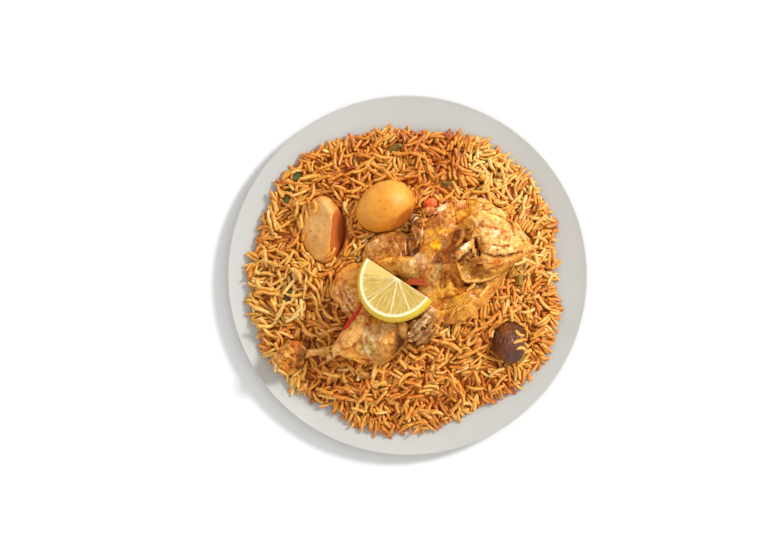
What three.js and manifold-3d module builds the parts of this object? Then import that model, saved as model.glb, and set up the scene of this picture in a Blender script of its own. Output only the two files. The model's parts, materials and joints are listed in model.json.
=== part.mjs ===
// A plate of chicken kabsa: a round coupe plate with a heap of long-grain rice, and on it half a
// stewed chicken, two pieces of potato, a dried lime, a thick half slice of lemon and bits of vegetable.
// Millimetres, +Z up. The origin is the middle of the plate's foot, on the surface it stands on.
// +X is to the right and +Y is away from the diner when the plate is looked at from above.
import * as THREE from "three";
import { mergeVertices } from "three/addons/utils/BufferGeometryUtils.js";
import Module from "manifold-3d";

// Plate
const PLATE_RADIUS = 140;
const PLATE_FOOT_RADIUS = 78;
const PLATE_FOOT_WIDTH = 7;
const PLATE_THICKNESS = 4.2;
const PLATE_THINNING = 1.1; // how much thinner the wall is at the rim
const PLATE_LIP = 1.6; // half the thickness of the rounded rim
const PLATE_SIDES = 64;
const WELL_HEIGHT = 5.5; // upper face of the flat middle
const WELL_RADIUS = 66; // where the middle starts to curve up
const RIM_RISE = 7; // from the flat middle to the top of the rim

// Rice heap
const RICE_EDGE_HEIGHT = 9; // the steep outer edge above the plate
const RICE_DOME_HEIGHT = 27; // what the middle adds to that
const RICE_SWELL = 1.8; // broad lumps
const RICE_BUMP = 1.1; // bumps of a grain's size
const RICE_SIDES = 60;
const RICE_RINGS_TOP = 11;
const RICE_RINGS_BELOW = 2;
// Radius of the heap every 20 degrees, from +X towards +Y, without the grains that stick out of it
const RICE_OUTLINE = [
  112, 118, 118, 116, 111, 112, 115, 121, 117,
  120, 122, 121, 117, 119, 115, 114, 119, 120,
];

// Grains that stand out of the heap, full length and half thickness
const GRAIN_LENGTH = 13;
const GRAIN_HALF_WIDTH = 1.35;
const GRAIN_SINK = 0.25; // how far a grain's middle lies under the heap's face
const GRAINS_ON_TOP = 32;
const GRAINS_AT_EDGE = 36;
const GRAIN_SEED = 20417;

// Clearance between neighbours
const GAP = 0.35;

const wasm = await Module();
wasm.setup();

const COLOURS = {
  glaze: { color: 0xdcd9d2, roughness: 0.45 },
  rice: { color: 0xd98b35, roughness: 0.55 },
  chicken: { color: 0xc98d4c, roughness: 0.5 },
  potato: { color: 0xe8a13c, roughness: 0.45 },
  cutPotato: { color: 0xe6ae62, roughness: 0.55 },
  driedLime: { color: 0x55302a, roughness: 0.35 },
  lemon: { color: 0xf0dc6a, roughness: 0.4 },
  redPepper: { color: 0xb8301c, roughness: 0.35 },
  greenPepper: { color: 0x7d7a2c, roughness: 0.4 },
  onion: { color: 0xe3b577, roughness: 0.4 },
  herb: { color: 0x4d5c22, roughness: 0.6 },
};

// Numbers from 0 to 1 that are the same on every run
function seededRandom(seed) {
  let state = seed;
  return () => {
    state = (state * 1664525 + 1013904223) % 4294967296;
    return state / 4294967296;
  };
}

// Smooth unevenness between -1 and 1, with features about one pitch across
function unevenness(x, y, z, pitch) {
  const k = (2 * Math.PI) / pitch;
  const a = Math.sin(k * x + 1.7 * Math.sin(0.61 * k * y + 0.4));
  const b = Math.sin(0.93 * k * y + 1.4 * Math.sin(0.57 * k * z + 2.1));
  const c = Math.sin(1.07 * k * z + 1.6 * Math.sin(0.53 * k * x + 1.2));
  return (a + b + c) / 3;
}

// Only positions, with shared corners merged, as a boolean needs
function weld(geometry) {
  geometry.deleteAttribute("normal");
  geometry.deleteAttribute("uv");
  return mergeVertices(geometry, 1e-4);
}

// Moves every vertex by a function that changes the vector it is given
function reshape(geometry, change) {
  const position = geometry.getAttribute("position");
  const v = new THREE.Vector3();
  for (let i = 0; i < position.count; i++) {
    v.fromBufferAttribute(position, i);
    change(v, i);
    position.setXYZ(i, v.x, v.y, v.z);
  }
  return geometry;
}

// Moves a welded surface along its normals by amount, a number or a function of the place
function swell(geometry, amount) {
  geometry.computeVertexNormals();
  const normals = geometry.getAttribute("normal").clone();
  const n = new THREE.Vector3();
  reshape(geometry, (v, i) => {
    n.fromBufferAttribute(normals, i);
    v.addScaledVector(n, typeof amount === "function" ? amount(v) : amount);
  });
  geometry.deleteAttribute("normal");
  return geometry;
}

function roughen(geometry, rough, pitch) {
  return rough ? swell(geometry, (v) => rough * unevenness(v.x, v.y, v.z, pitch)) : geometry;
}

// Turns the faces of a closed surface that was made inside out
function faceOut(geometry) {
  if (toSolid(geometry).volume() > 0) return geometry;
  const index = geometry.index.array;
  for (let i = 0; i < index.length; i += 3) {
    [index[i + 1], index[i + 2]] = [index[i + 2], index[i + 1]];
  }
  return geometry;
}

function toSolid(geometry) {
  return new wasm.Manifold(
    new wasm.Mesh({
      numProp: 3,
      vertProperties: new Float32Array(geometry.getAttribute("position").array),
      triVerts: new Uint32Array(geometry.index.array),
    }),
  );
}

function toGeometry(solid) {
  const { numProp, vertProperties, triVerts, numVert } = solid.getMesh();
  const xyz = new Float32Array(numVert * 3);
  for (let i = 0; i < numVert; i++) {
    xyz.set(vertProperties.subarray(i * numProp, i * numProp + 3), i * 3);
  }
  return new THREE.BufferGeometry()
    .setAttribute("position", new THREE.BufferAttribute(xyz, 3))
    .setIndex(new THREE.BufferAttribute(triVerts, 1));
}

// The largest body of a solid: what a cut or a join leaves loose, or seals inside, is dropped
function largestBody(solid) {
  return solid.decompose().reduce((a, b) => (b.volume() > a.volume() ? b : a));
}

function fuse(geometries) {
  return geometries.map(toSolid).reduce((a, b) => a.add(b));
}

// A copy of a solid that is larger by the clearance all round
function withClearance(solid) {
  return toSolid(swell(weld(toGeometry(solid)), GAP));
}

function cut(solid, cutters) {
  return largestBody(cutters.reduce((left, cutter) => left.subtract(cutter), solid));
}

// Meat, bone and strips: a closed sleeve round a smooth line through stations.
// Each station has its place, its half width level with the table and its half height.
// fullness is how blunt the two ends are; rough and pitch are the unevenness of the skin.
function sleeve(stations, { sides = 10, rings = 8, fullness = 3.2, rough = 0, pitch = 14 } = {}) {
  const line = new THREE.CatmullRomCurve3(stations.map((s) => new THREE.Vector3(...s.at)));
  const sizes = (key) => {
    const flat = stations.map((s, i) => new THREE.Vector3(i, s[key], 0));
    return new THREE.CatmullRomCurve3(flat);
  };
  const wide = sizes("wide");
  const tall = sizes("tall");
  const up = new THREE.Vector3(0, 0, 1);
  const geometry = new THREE.SphereGeometry(1, sides, rings);
  reshape(geometry, (v) => {
    const t = Math.acos(THREE.MathUtils.clamp(v.y, -1, 1)) / Math.PI;
    const around = Math.atan2(v.z, v.x);
    const closing = Math.hypot(v.x, v.z) < 1e-6 ? 0 : (1 - Math.abs(2 * t - 1) ** fullness) ** 0.5;
    const along = line.getTangent(t);
    const across = new THREE.Vector3().crossVectors(along, up).normalize();
    const above = new THREE.Vector3().crossVectors(across, along).normalize();
    const w = wide.getPoint(t).y * closing * Math.cos(around);
    const h = tall.getPoint(t).y * closing * Math.sin(around);
    v.copy(line.getPoint(t)).addScaledVector(across, w).addScaledVector(above, h);
  });
  return roughen(faceOut(weld(geometry)), rough, pitch);
}

// A round lump with three half sizes, turned about Z and set at a place
function lump({ at, half, turn = 0, taper = 0, rough = 0, pitch = 14, sides = 14, rings = 10 }) {
  const geometry = new THREE.SphereGeometry(1, sides, rings);
  reshape(geometry, (v) => {
    const narrowing = 1 - taper * v.x;
    v.set(v.x * half[0], v.z * half[1] * narrowing, -v.y * half[2] * narrowing);
  });
  geometry.rotateZ(turn).translate(...at);
  return roughen(faceOut(weld(geometry)), rough, pitch);
}

// Height of the plate's upper face at a radius
function plateTop(radius) {
  const t = THREE.MathUtils.clamp((radius - WELL_RADIUS) / (PLATE_RADIUS - WELL_RADIUS), 0, 1);
  return WELL_HEIGHT + RIM_RISE * t * t;
}

function makePlate() {
  const outline = [];
  const curveSteps = 5;
  const belowSteps = 3;
  const lipStart = PLATE_RADIUS - PLATE_LIP;
  const footInner = PLATE_FOOT_RADIUS - PLATE_FOOT_WIDTH;
  const baseHeight = WELL_HEIGHT - PLATE_THICKNESS;
  const below = (radius) => plateTop(radius) - PLATE_THICKNESS;
  outline.push([0, baseHeight], [footInner, baseHeight], [footInner + 1, 0]);
  outline.push([PLATE_FOOT_RADIUS - 1, 0], [PLATE_FOOT_RADIUS, below(PLATE_FOOT_RADIUS)]);
  for (let i = 1; i <= belowSteps; i++) {
    const share = i / belowSteps;
    const radius = PLATE_FOOT_RADIUS + (lipStart - PLATE_FOOT_RADIUS) * share;
    outline.push([radius, below(radius) + PLATE_THINNING * share]);
  }
  const rimTop = plateTop(PLATE_RADIUS);
  outline.push([PLATE_RADIUS, rimTop - PLATE_LIP], [lipStart + 0.3, rimTop]);
  for (let i = 1; i <= curveSteps; i++) {
    const radius = lipStart + ((WELL_RADIUS - lipStart) * i) / curveSteps;
    outline.push([radius, plateTop(radius)]);
  }
  outline.push([0, WELL_HEIGHT]);
  const profile = outline.map(([r, z]) => new THREE.Vector2(r, z));
  return toSolid(weld(new THREE.LatheGeometry(profile, PLATE_SIDES).rotateX(Math.PI / 2)));
}

// Radius of the heap at an angle, on a smooth closed curve through the outline's values
const outlineCurve = new THREE.CatmullRomCurve3(
  RICE_OUTLINE.map((radius, i) => {
    const angle = (2 * Math.PI * i) / RICE_OUTLINE.length;
    return new THREE.Vector3(radius * Math.cos(angle), radius * Math.sin(angle), 0);
  }),
  true,
);
function heapRadius(angle) {
  const turn = (angle / (2 * Math.PI) + 1) % 1;
  const p = outlineCurve.getPoint(turn);
  return Math.hypot(p.x, p.y);
}

// Height of the heap's face: share is 0 in the middle and 1 at its outline
function heapTop(x, y) {
  const radius = Math.hypot(x, y);
  const share = Math.min(1, radius / heapRadius(Math.atan2(y, x)));
  const edge = RICE_EDGE_HEIGHT * (1 - share ** 8) ** 0.5;
  const dome = RICE_DOME_HEIGHT * (1 - share * share) ** 1.2;
  const swells = RICE_SWELL * unevenness(x, y, 7, 46) * (1 - share ** 6);
  return plateTop(radius) + edge + dome + swells;
}

// The bare heap: its face has bumps of a grain's size and its underside follows the plate
function makeRiceCore() {
  const rings = RICE_RINGS_TOP + RICE_RINGS_BELOW;
  const geometry = new THREE.SphereGeometry(1, RICE_SIDES, rings);
  const random = seededRandom(GRAIN_SEED);
  const bumps = new Map();
  reshape(geometry, (v) => {
    const ring = Math.round((Math.acos(THREE.MathUtils.clamp(v.y, -1, 1)) / Math.PI) * rings);
    const onTop = ring <= RICE_RINGS_TOP;
    const share = onTop ? ring / RICE_RINGS_TOP : (rings - ring) / RICE_RINGS_BELOW;
    const angle = Math.atan2(v.z, v.x);
    const atPole = ring === 0 || ring === rings;
    const column = atPole ? 0 : Math.round((angle / Math.PI + 2) * RICE_SIDES * 0.5) % RICE_SIDES;
    const key = ring * RICE_SIDES + column;
    if (!bumps.has(key)) bumps.set(key, 2 * random() - 1);
    const bump = bumps.get(key);
    const spread = share ** 0.92 * heapRadius(angle) + (share > 0.9 ? 2 * RICE_BUMP * bump : 0);
    const x = spread * Math.cos(angle);
    const y = spread * Math.sin(angle);
    const top = ring === RICE_RINGS_TOP ? plateTop(spread) + 3 : heapTop(x, y) + RICE_BUMP * bump;
    v.set(x, y, onTop ? top : plateTop(spread) + GAP);
  });
  return toSolid(faceOut(weld(geometry)));
}

// One grain between two ends
function grain(from, to) {
  const along = new THREE.Vector3().subVectors(to, from);
  const geometry = new THREE.SphereGeometry(1, 4, 4);
  geometry.scale(GRAIN_HALF_WIDTH, along.length() / 2, GRAIN_HALF_WIDTH);
  const turn = new THREE.Quaternion().setFromUnitVectors(
    new THREE.Vector3(0, 1, 0),
    along.clone().normalize(),
  );
  geometry.applyQuaternion(turn);
  const middle = new THREE.Vector3().addVectors(from, to).multiplyScalar(0.5);
  geometry.translate(middle.x, middle.y, middle.z);
  return toSolid(weld(geometry));
}

// Grains spread evenly by the golden angle over the face, then a ring of them that stick out
// of the edge. One that would cross the plate or anything that lies on the rice is left out.
function looseGrains(obstacles) {
  const random = seededRandom(GRAIN_SEED + 1);
  const goldenAngle = Math.PI * (3 - Math.sqrt(5));
  const made = [];
  const keepIfClear = (solid) => {
    if (obstacles.every((other) => other.intersect(solid).volume() <= 0)) made.push(solid);
  };
  const point = (x, y, lift) => new THREE.Vector3(x, y, heapTop(x, y) - GRAIN_SINK + lift);
  for (let i = 0; i < GRAINS_ON_TOP; i++) {
    const share = 0.93 * Math.sqrt((i + 0.5) / GRAINS_ON_TOP);
    const angle = i * goldenAngle;
    const heading = 2 * Math.PI * random();
    const reach = GRAIN_LENGTH * (0.42 + 0.16 * random());
    const x = share * heapRadius(angle) * Math.cos(angle);
    const y = share * heapRadius(angle) * Math.sin(angle);
    const dx = reach * Math.cos(heading);
    const dy = reach * Math.sin(heading);
    keepIfClear(grain(point(x - dx, y - dy, 0.9 * random()), point(x + dx, y + dy, 0)));
  }
  for (let i = 0; i < GRAINS_AT_EDGE; i++) {
    const angle = (2 * Math.PI * (i + 0.6 * random())) / GRAINS_AT_EDGE;
    const heading = angle + 1.5 * (random() - 0.5);
    const out = heapRadius(angle) + 1 + 2.5 * random();
    const end = new THREE.Vector3(out * Math.cos(angle), out * Math.sin(angle), 0);
    const start = end.clone();
    start.x -= GRAIN_LENGTH * 0.8 * Math.cos(heading);
    start.y -= GRAIN_LENGTH * 0.8 * Math.sin(heading);
    end.z = plateTop(out + GRAIN_HALF_WIDTH) + GRAIN_HALF_WIDTH + 1.2 + 3.5 * random();
    start.z = Math.min(heapTop(start.x, start.y) - 2, end.z + 4);
    keepIfClear(grain(start, end));
  }
  return made;
}

// The leg: ankle with its gristle, bare bone, drumstick and thigh
function chickenLeg() {
  const ankle = sleeve(
    [
      { at: [-82, -50, 24.8], wide: 7.5, tall: 7 },
      { at: [-89, -61, 24.7], wide: 11.5, tall: 10 },
      { at: [-96, -77, 20.4], wide: 7.5, tall: 7 },
    ],
    { rough: 0.9, pitch: 11, rings: 7 },
  );
  const bone = sleeve(
    [
      { at: [-84, -61, 25.4], wide: 4, tall: 4 },
      { at: [-70, -59, 31], wide: 3.1, tall: 3.1 },
      { at: [-50, -55, 38], wide: 4.5, tall: 4.5 },
    ],
    { sides: 8, rings: 5, fullness: 5 },
  );
  const sinew = sleeve(
    [
      { at: [-49, -58, 37], wide: 2.6, tall: 2 },
      { at: [-60, -63.5, 34], wide: 1.6, tall: 1.5 },
      { at: [-69, -69, 30.5], wide: 1.2, tall: 1.2 },
    ],
    { sides: 6, rings: 5 },
  );
  const drumstick = sleeve(
    [
      { at: [-59, -57, 39], wide: 5, tall: 4.5 },
      { at: [-48, -54, 42], wide: 11, tall: 9.5 },
      { at: [-33, -47, 44], wide: 19, tall: 16 },
      { at: [-15, -46, 44.5], wide: 21, tall: 17.5 },
      { at: [2, -48, 42], wide: 15, tall: 14 },
    ],
    { sides: 12, rings: 10, rough: 0.6, pitch: 17 },
  );
  const thigh = sleeve(
    [
      { at: [-42, 11, 41], wide: 11, tall: 9 },
      { at: [-40, -6, 42], wide: 19.5, tall: 13 },
      { at: [-34, -22, 42], wide: 17, tall: 13 },
      { at: [-26, -38, 42], wide: 12, tall: 11 },
    ],
    { sides: 12, rough: 0.7, pitch: 15 },
  );
  const upperThigh = sleeve(
    [
      { at: [-36, 12, 38], wide: 9, tall: 9 },
      { at: [-18, 20, 41], wide: 14, tall: 12 },
      { at: [-4, 20, 41], wide: 14, tall: 11 },
      { at: [12, 15, 41], wide: 11, tall: 8 },
    ],
    { rough: 0.5, pitch: 12 },
  );
  return [ankle, bone, sinew, drumstick, thigh, upperThigh];
}

// The back: a ridge of skin over bone, the carcass under it, the backbone, flaps of skin and
// torn meat below
function chickenBack() {
  const ridge = sleeve(
    [
      { at: [-32, 9, 52], wide: 4, tall: 4 },
      { at: [-15, 7.5, 55], wide: 7, tall: 6 },
      { at: [0, 6, 56], wide: 8.5, tall: 7 },
      { at: [16, 3, 54], wide: 10, tall: 9 },
    ],
    { rough: 0.4, pitch: 12 },
  );
  const carcass = sleeve(
    [
      { at: [-30, -12, 38], wide: 12, tall: 9 },
      { at: [-8, -14, 41], wide: 16, tall: 10 },
      { at: [14, -12, 47], wide: 15, tall: 13 },
      { at: [30, -6, 44], wide: 10, tall: 9 },
    ],
    { sides: 9, rings: 6 },
  );
  const backbone = sleeve(
    [
      { at: [36, 54, 39], wide: 9, tall: 7 },
      { at: [28, 40, 45], wide: 14, tall: 10 },
      { at: [20, 20, 49], wide: 15, tall: 12 },
      { at: [14, 0, 52], wide: 14, tall: 12 },
      { at: [15, -18, 50], wide: 12, tall: 11 },
    ],
    { sides: 12, rings: 10, rough: 1, pitch: 16 },
  );
  const sideMeat = sleeve(
    [
      { at: [3, 45, 40], wide: 4.5, tall: 4 },
      { at: [10, 38, 44], wide: 7, tall: 6 },
      { at: [11, 26, 46], wide: 8, tall: 7 },
    ],
    { sides: 8, rings: 6, rough: 0.8, pitch: 8 },
  );
  const upperSkin = sleeve(
    [
      { at: [30, 50, 39], wide: 7, tall: 5 },
      { at: [50, 50, 38.5], wide: 9.5, tall: 6.5 },
      { at: [68, 43, 36], wide: 9, tall: 6.5 },
      { at: [80, 33, 31], wide: 5, tall: 5 },
    ],
    { sides: 8, rings: 9, rough: 0.5, pitch: 9 },
  );
  const lowerSkin = sleeve(
    [
      { at: [76, 4, 32], wide: 6, tall: 4 },
      { at: [58, -9, 38.5], wide: 11, tall: 6 },
      { at: [40, -22, 43], wide: 14, tall: 8 },
      { at: [26, -38, 38], wide: 9, tall: 6 },
    ],
    { sides: 10, rings: 9, rough: 0.6, pitch: 10 },
  );
  const underWing = sleeve(
    [
      { at: [24, 16, 45], wide: 13, tall: 9 },
      { at: [42, 10, 43], wide: 17, tall: 10 },
      { at: [60, 6, 37], wide: 13, tall: 8 },
    ],
    { rings: 6, rough: 0.6, pitch: 14 },
  );
  const tornMeat = sleeve(
    [
      { at: [20, -20, 48], wide: 11, tall: 11 },
      { at: [13, -37, 47], wide: 11, tall: 10 },
      { at: [9, -51, 40], wide: 8, tall: 6 },
    ],
    { rings: 8, rough: 1.3, pitch: 7 },
  );
  return [ridge, carcass, backbone, sideMeat, upperSkin, lowerSkin, underWing, tornMeat];
}

// The folded wing: a swollen shoulder that narrows to its tip, long folds of skin along it,
// a rim of skin round its open end, and the bare knuckle
function chickenWing() {
  const shoulder = sleeve(
    [
      { at: [43, 20, 49], wide: 13, tall: 9 },
      { at: [56, 22, 50], wide: 24, tall: 15 },
      { at: [72, 22, 47], wide: 20, tall: 16 },
      { at: [87, 20, 40], wide: 10, tall: 11 },
      { at: [98, 18, 30.3], wide: 4, tall: 5 },
    ],
    { sides: 12, rings: 10, rough: 0.7, pitch: 13 },
  );
  const foldPlaces = [
    [41, 0, 9],
    [31, 1.5, 12],
    [19, 2, 12],
  ];
  const folds = foldPlaces.map(([y, lift, length]) =>
    sleeve(
      [
        { at: [56 - length / 2, y, 59 + lift], wide: 4, tall: 4 },
        { at: [66, y + 1, 58.5 + lift], wide: 5, tall: 4 },
        { at: [78, 21 + (y - 21) * 0.6, 53], wide: 4, tall: 4 },
        { at: [90, 19 + (y - 21) * 0.2, 43], wide: 2.5, tall: 2.5 },
      ],
      { sides: 7, rings: 7 },
    ),
  );
  const skinRim = sleeve(
    [
      { at: [38, 11, 51], wide: 3, tall: 3.5 },
      { at: [42, 1, 49], wide: 3.5, tall: 4.5 },
      { at: [53, -4, 45], wide: 4, tall: 5.5 },
      { at: [66, -2, 40.5], wide: 4, tall: 5.5 },
      { at: [79, 6, 36], wide: 3, tall: 4.5 },
    ],
    { sides: 8, rings: 9, rough: 0.4, pitch: 5 },
  );
  const knuckle = sleeve(
    [
      { at: [50, 25, 60.5], wide: 4.5, tall: 4 },
      { at: [42, 19, 60], wide: 6, tall: 5.5 },
      { at: [36, 13, 55.5], wide: 6, tall: 6 },
    ],
    { sides: 9, rings: 6 },
  );
  return [shoulder, ...folds, skinRim, knuckle];
}

// The dark slot between the knuckle and the skin of the wing
function wingSlot() {
  const places = [
    { at: [55, 30, 67], wide: 3, tall: 6 },
    { at: [54, 22, 64], wide: 4.5, tall: 8 },
    { at: [58, 13, 63], wide: 3, tall: 6 },
  ];
  return sleeve(places, { sides: 8, rings: 6 });
}

// Half a bird of one piece, lying on the rice with the cut side down. With a clearance, each of its
// lumps is that much larger, which is the space to leave for it in what lies round it.
function makeHalfChicken(clearance = 0) {
  const lumps = [...chickenLeg(), ...chickenBack(), ...chickenWing()];
  if (clearance) return fuse(lumps.map((geometry) => swell(geometry, clearance)));
  return fuse(lumps).subtract(toSolid(wingSlot()));
}

function makeWholePotato() {
  const turn = THREE.MathUtils.degToRad(30);
  const shape = { at: [-17.5, 52.5, 41], half: [24, 19.5, 18], turn, taper: -0.08 };
  return toSolid(lump({ ...shape, rough: 0.4, pitch: 19, sides: 14, rings: 10 }));
}

// A potato with a flat face cut across it, the face leaning to the left
function makeCutPotato() {
  const centre = new THREE.Vector3(-64.5, 35.5, 26);
  const lean = THREE.MathUtils.degToRad(38);
  const cutDistance = 9;
  const turn = THREE.MathUtils.degToRad(94);
  const shape = { at: centre.toArray(), half: [26.5, 18, 18], turn, taper: 0.06 };
  const potato = toSolid(lump({ ...shape, rough: 0.4, pitch: 17, sides: 14, rings: 10 }));
  const block = new THREE.BoxGeometry(90, 90, 40).translate(0, 0, 20 + cutDistance);
  block.rotateY(-lean).translate(centre.x, centre.y, centre.z);
  return potato.subtract(toSolid(weld(block)));
}

function makeDriedLime() {
  const shape = { at: [79, -52, 25.5], half: [13, 16, 13], rough: 1.1, pitch: 9 };
  return toSolid(lump({ ...shape, sides: 14, rings: 10 }));
}

// A thick half slice: flat cut faces, the rind bulging between them and the cut along the middle.
// Shallow grooves on the upper face mark the membranes between the segments.
function makeLemon() {
  const radius = 29.5;
  const thickness = 13;
  const bulge = 1.5;
  const pithWidth = 4.2;
  const membranes = 5;
  const outline = [
    [0, 0],
    [radius - 0.5, 0],
    [radius + bulge, thickness * 0.4],
    [radius + bulge * 0.6, thickness * 0.75],
    [radius - 1.2, thickness],
    [0, thickness],
  ].map(([r, z]) => new THREE.Vector2(r, z));
  let slice = toSolid(weld(new THREE.LatheGeometry(outline, 40).rotateX(Math.PI / 2)));
  const half = new THREE.BoxGeometry(90, 45, 40).translate(0, 22.5, 0);
  slice = slice.subtract(toSolid(weld(half)));
  for (let i = 1; i <= membranes; i++) {
    const angle = -(Math.PI * i) / (membranes + 1);
    const groove = new THREE.BoxGeometry(radius - pithWidth - 5, 0.8, 1.2);
    groove.translate((radius - pithWidth + 5) / 2, 0, thickness).rotateZ(angle);
    slice = slice.subtract(toSolid(weld(groove)));
  }
  const placed = toGeometry(slice);
  placed.translate(0, 0, -thickness / 2).scale(1, 1.1, 1);
  placed.rotateY(THREE.MathUtils.degToRad(-12));
  placed.rotateX(THREE.MathUtils.degToRad(-5));
  placed.rotateZ(THREE.MathUtils.degToRad(-34));
  placed.translate(-7, -3, 64);
  return toSolid(weld(placed));
}

// A strip of pepper along a line, flat and slightly curled
function strip(places, halfWidth, halfThickness) {
  const stations = places.map((at) => ({ at, wide: halfWidth, tall: halfThickness }));
  return toSolid(sleeve(stations, { sides: 6, rings: 7, fullness: 5 }));
}

// A small piece of vegetable on the rice, resting a little way into it
function morsel({ x, y, half, turn = 0, rough = 0.4, sink = 0.3 }) {
  const height = heapTop(x, y) + half[2] * (1 - 2 * sink);
  return toSolid(lump({ at: [x, y, height], half, turn, rough, pitch: 6, sides: 8, rings: 5 }));
}

// A leaf: a thin wavy blade with a toothed outline, both faces split alike
function leaf({ x, y, length, width, turn, lobes }) {
  const thickness = 0.9;
  const blade = new THREE.CylinderGeometry(1, 1, thickness, lobes * 4, 1).rotateX(Math.PI / 2);
  const height = heapTop(x, y) + 2.2;
  reshape(blade, (v) => {
    const angle = Math.atan2(v.y, v.x);
    const reach = Math.hypot(v.x, v.y) * (0.8 + 0.2 * Math.cos(lobes * angle));
    const wave = 0.5 * Math.sin(3 * angle) * reach;
    v.set(reach * length * 0.5 * Math.cos(angle), reach * width * 0.5 * Math.sin(angle), v.z + wave);
  });
  blade.rotateZ(turn).translate(x, y, height);
  return toSolid(weld(blade));
}

// Where the two strips of pepper run
const STRIPS = {
  left: [
    [-34, -20, 60],
    [-39, -29, 59],
    [-45, -36, 55],
    [-50, -43, 51],
  ],
  centre: [
    [-3, -6, 62],
    [4, -4.5, 63],
    [11, -5.5, 62.5],
    [16, -9, 61],
  ],
};

const MORSELS = {
  tomato_piece: { x: 17.5, y: 55, half: [6.5, 5, 4], turn: 0.5, colour: "redPepper" },
  tomato_skin: { x: -49.5, y: 64.6, half: [3.8, 2.6, 1.8], turn: 0.3, colour: "redPepper" },
  orange_pepper_shard: { x: 42, y: 79, half: [3, 6, 1.8], turn: 0.2, colour: "redPepper" },
  green_pepper_top: { x: -9, y: 99, half: [6.5, 3.2, 1.7], turn: 0.5, colour: "greenPepper" },
  green_pepper_middle: { x: 30, y: 71, half: [5.5, 2.5, 1.6], turn: 0.1, colour: "greenPepper" },
  green_pepper_right: { x: 87, y: -3, half: [2.8, 5.5, 2.2], turn: 0.2, colour: "greenPepper" },
  onion_left: { x: -85, y: 0, half: [5.6, 4.4, 2.8], turn: -0.7, colour: "onion" },
  onion_front: { x: -25, y: -84, half: [4.6, 4, 2.4], turn: 0.4, colour: "onion" },
  tomato_left: { x: -62, y: -31, half: [4, 6, 2.6], turn: 0.3, colour: "redPepper" },
};

const LEAVES = {
  herb_left: { x: -92, y: -16, length: 14, width: 9, turn: 1.3, lobes: 5 },
  parsley_back: { x: -85, y: 76, length: 9, width: 8, turn: 0.9, lobes: 5 },
  parsley_left: { x: -93, y: 58, length: 7, width: 5.5, turn: 0.2, lobes: 4 },
};

function makePart(name, solid, colour) {
  const material = new THREE.MeshStandardMaterial({ ...COLOURS[colour], metalness: 0 });
  const mesh = new THREE.Mesh(toGeometry(solid), material);
  mesh.name = name;
  return mesh;
}

// What lies on the rice, from the top down, so that each piece is cut clear of those above it
const lemon = makeLemon();
const lemonSpace = withClearance(lemon);
const stripLeft = cut(strip(STRIPS.left, 2, 1.3), [lemonSpace]);
const stripCentre = cut(strip(STRIPS.centre, 3, 1.3), [lemonSpace]);
const wholePotato = makeWholePotato();
const above = [lemonSpace, ...[stripLeft, stripCentre, wholePotato].map(withClearance)];
const chicken = cut(makeHalfChicken(), above);
const cutPotato = cut(makeCutPotato(), above);
const driedLime = makeDriedLime();
const chickenSpace = makeHalfChicken(GAP);
const largeSpace = [...above, chickenSpace, ...[cutPotato, driedLime].map(withClearance)];

const morselSolids = Object.entries(MORSELS).map(([name, size]) => {
  return [name, cut(morsel(size), largeSpace), size.colour];
});
const leafSolids = Object.entries(LEAVES).map(([name, size]) => [name, leaf(size), "herb"]);
const smallSpace = [...morselSolids, ...leafSolids].map(([, solid]) => withClearance(solid));

const plate = makePlate();
const obstacles = [...largeSpace, ...smallSpace];
const riceCore = cut(makeRiceCore(), obstacles);
const grains = looseGrains([...obstacles, withClearance(plate)]);
const rice = largestBody(grains.reduce((heap, one) => heap.add(one), riceCore));

const kabsa = new THREE.Group();
kabsa.add(
  makePart("plate", plate, "glaze"),
  makePart("rice_bed", rice, "rice"),
  makePart("half_chicken", chicken, "chicken"),
  makePart("potato_whole", wholePotato, "potato"),
  makePart("potato_cut", cutPotato, "cutPotato"),
  makePart("dried_lime", driedLime, "driedLime"),
  makePart("lemon_half_slice", lemon, "lemon"),
  makePart("red_pepper_strip_left", stripLeft, "redPepper"),
  makePart("red_pepper_strip_centre", stripCentre, "redPepper"),
  ...[...morselSolids, ...leafSolids].map(([name, solid, colour]) => makePart(name, solid, colour)),
);

export default kabsa;
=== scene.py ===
# A plate of chicken kabsa: spiced long-grain rice on an off-white coupe plate, half a stewed chicken,
# potatoes, a dried lime and a thick half slice of lemon. Everything is in metres, +Z up.
import json
import math

import bpy
import numpy as np
from mathutils import Matrix, Vector, noise
from mathutils.bvhtree import BVHTree

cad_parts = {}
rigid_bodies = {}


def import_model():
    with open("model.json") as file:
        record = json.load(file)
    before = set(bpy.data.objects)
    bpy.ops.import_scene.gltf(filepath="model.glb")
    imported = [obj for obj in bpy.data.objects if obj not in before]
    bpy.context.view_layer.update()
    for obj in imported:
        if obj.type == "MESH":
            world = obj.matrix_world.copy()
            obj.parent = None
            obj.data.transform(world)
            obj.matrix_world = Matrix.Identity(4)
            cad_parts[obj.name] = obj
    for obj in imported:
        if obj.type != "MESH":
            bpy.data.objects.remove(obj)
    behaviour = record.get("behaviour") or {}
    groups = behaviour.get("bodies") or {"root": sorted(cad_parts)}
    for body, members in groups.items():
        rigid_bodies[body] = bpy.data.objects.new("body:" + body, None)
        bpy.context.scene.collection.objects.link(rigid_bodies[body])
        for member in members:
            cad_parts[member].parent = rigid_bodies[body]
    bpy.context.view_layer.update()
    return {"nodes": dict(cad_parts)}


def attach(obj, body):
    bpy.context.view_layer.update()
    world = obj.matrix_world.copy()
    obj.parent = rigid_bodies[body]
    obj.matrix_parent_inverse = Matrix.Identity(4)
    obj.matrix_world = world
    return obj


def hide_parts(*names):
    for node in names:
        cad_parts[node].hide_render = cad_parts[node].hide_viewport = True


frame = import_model()
bpy.ops.object.select_all(action="DESELECT")
print("frame loaded:", len(frame["nodes"]), "solids")

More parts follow.
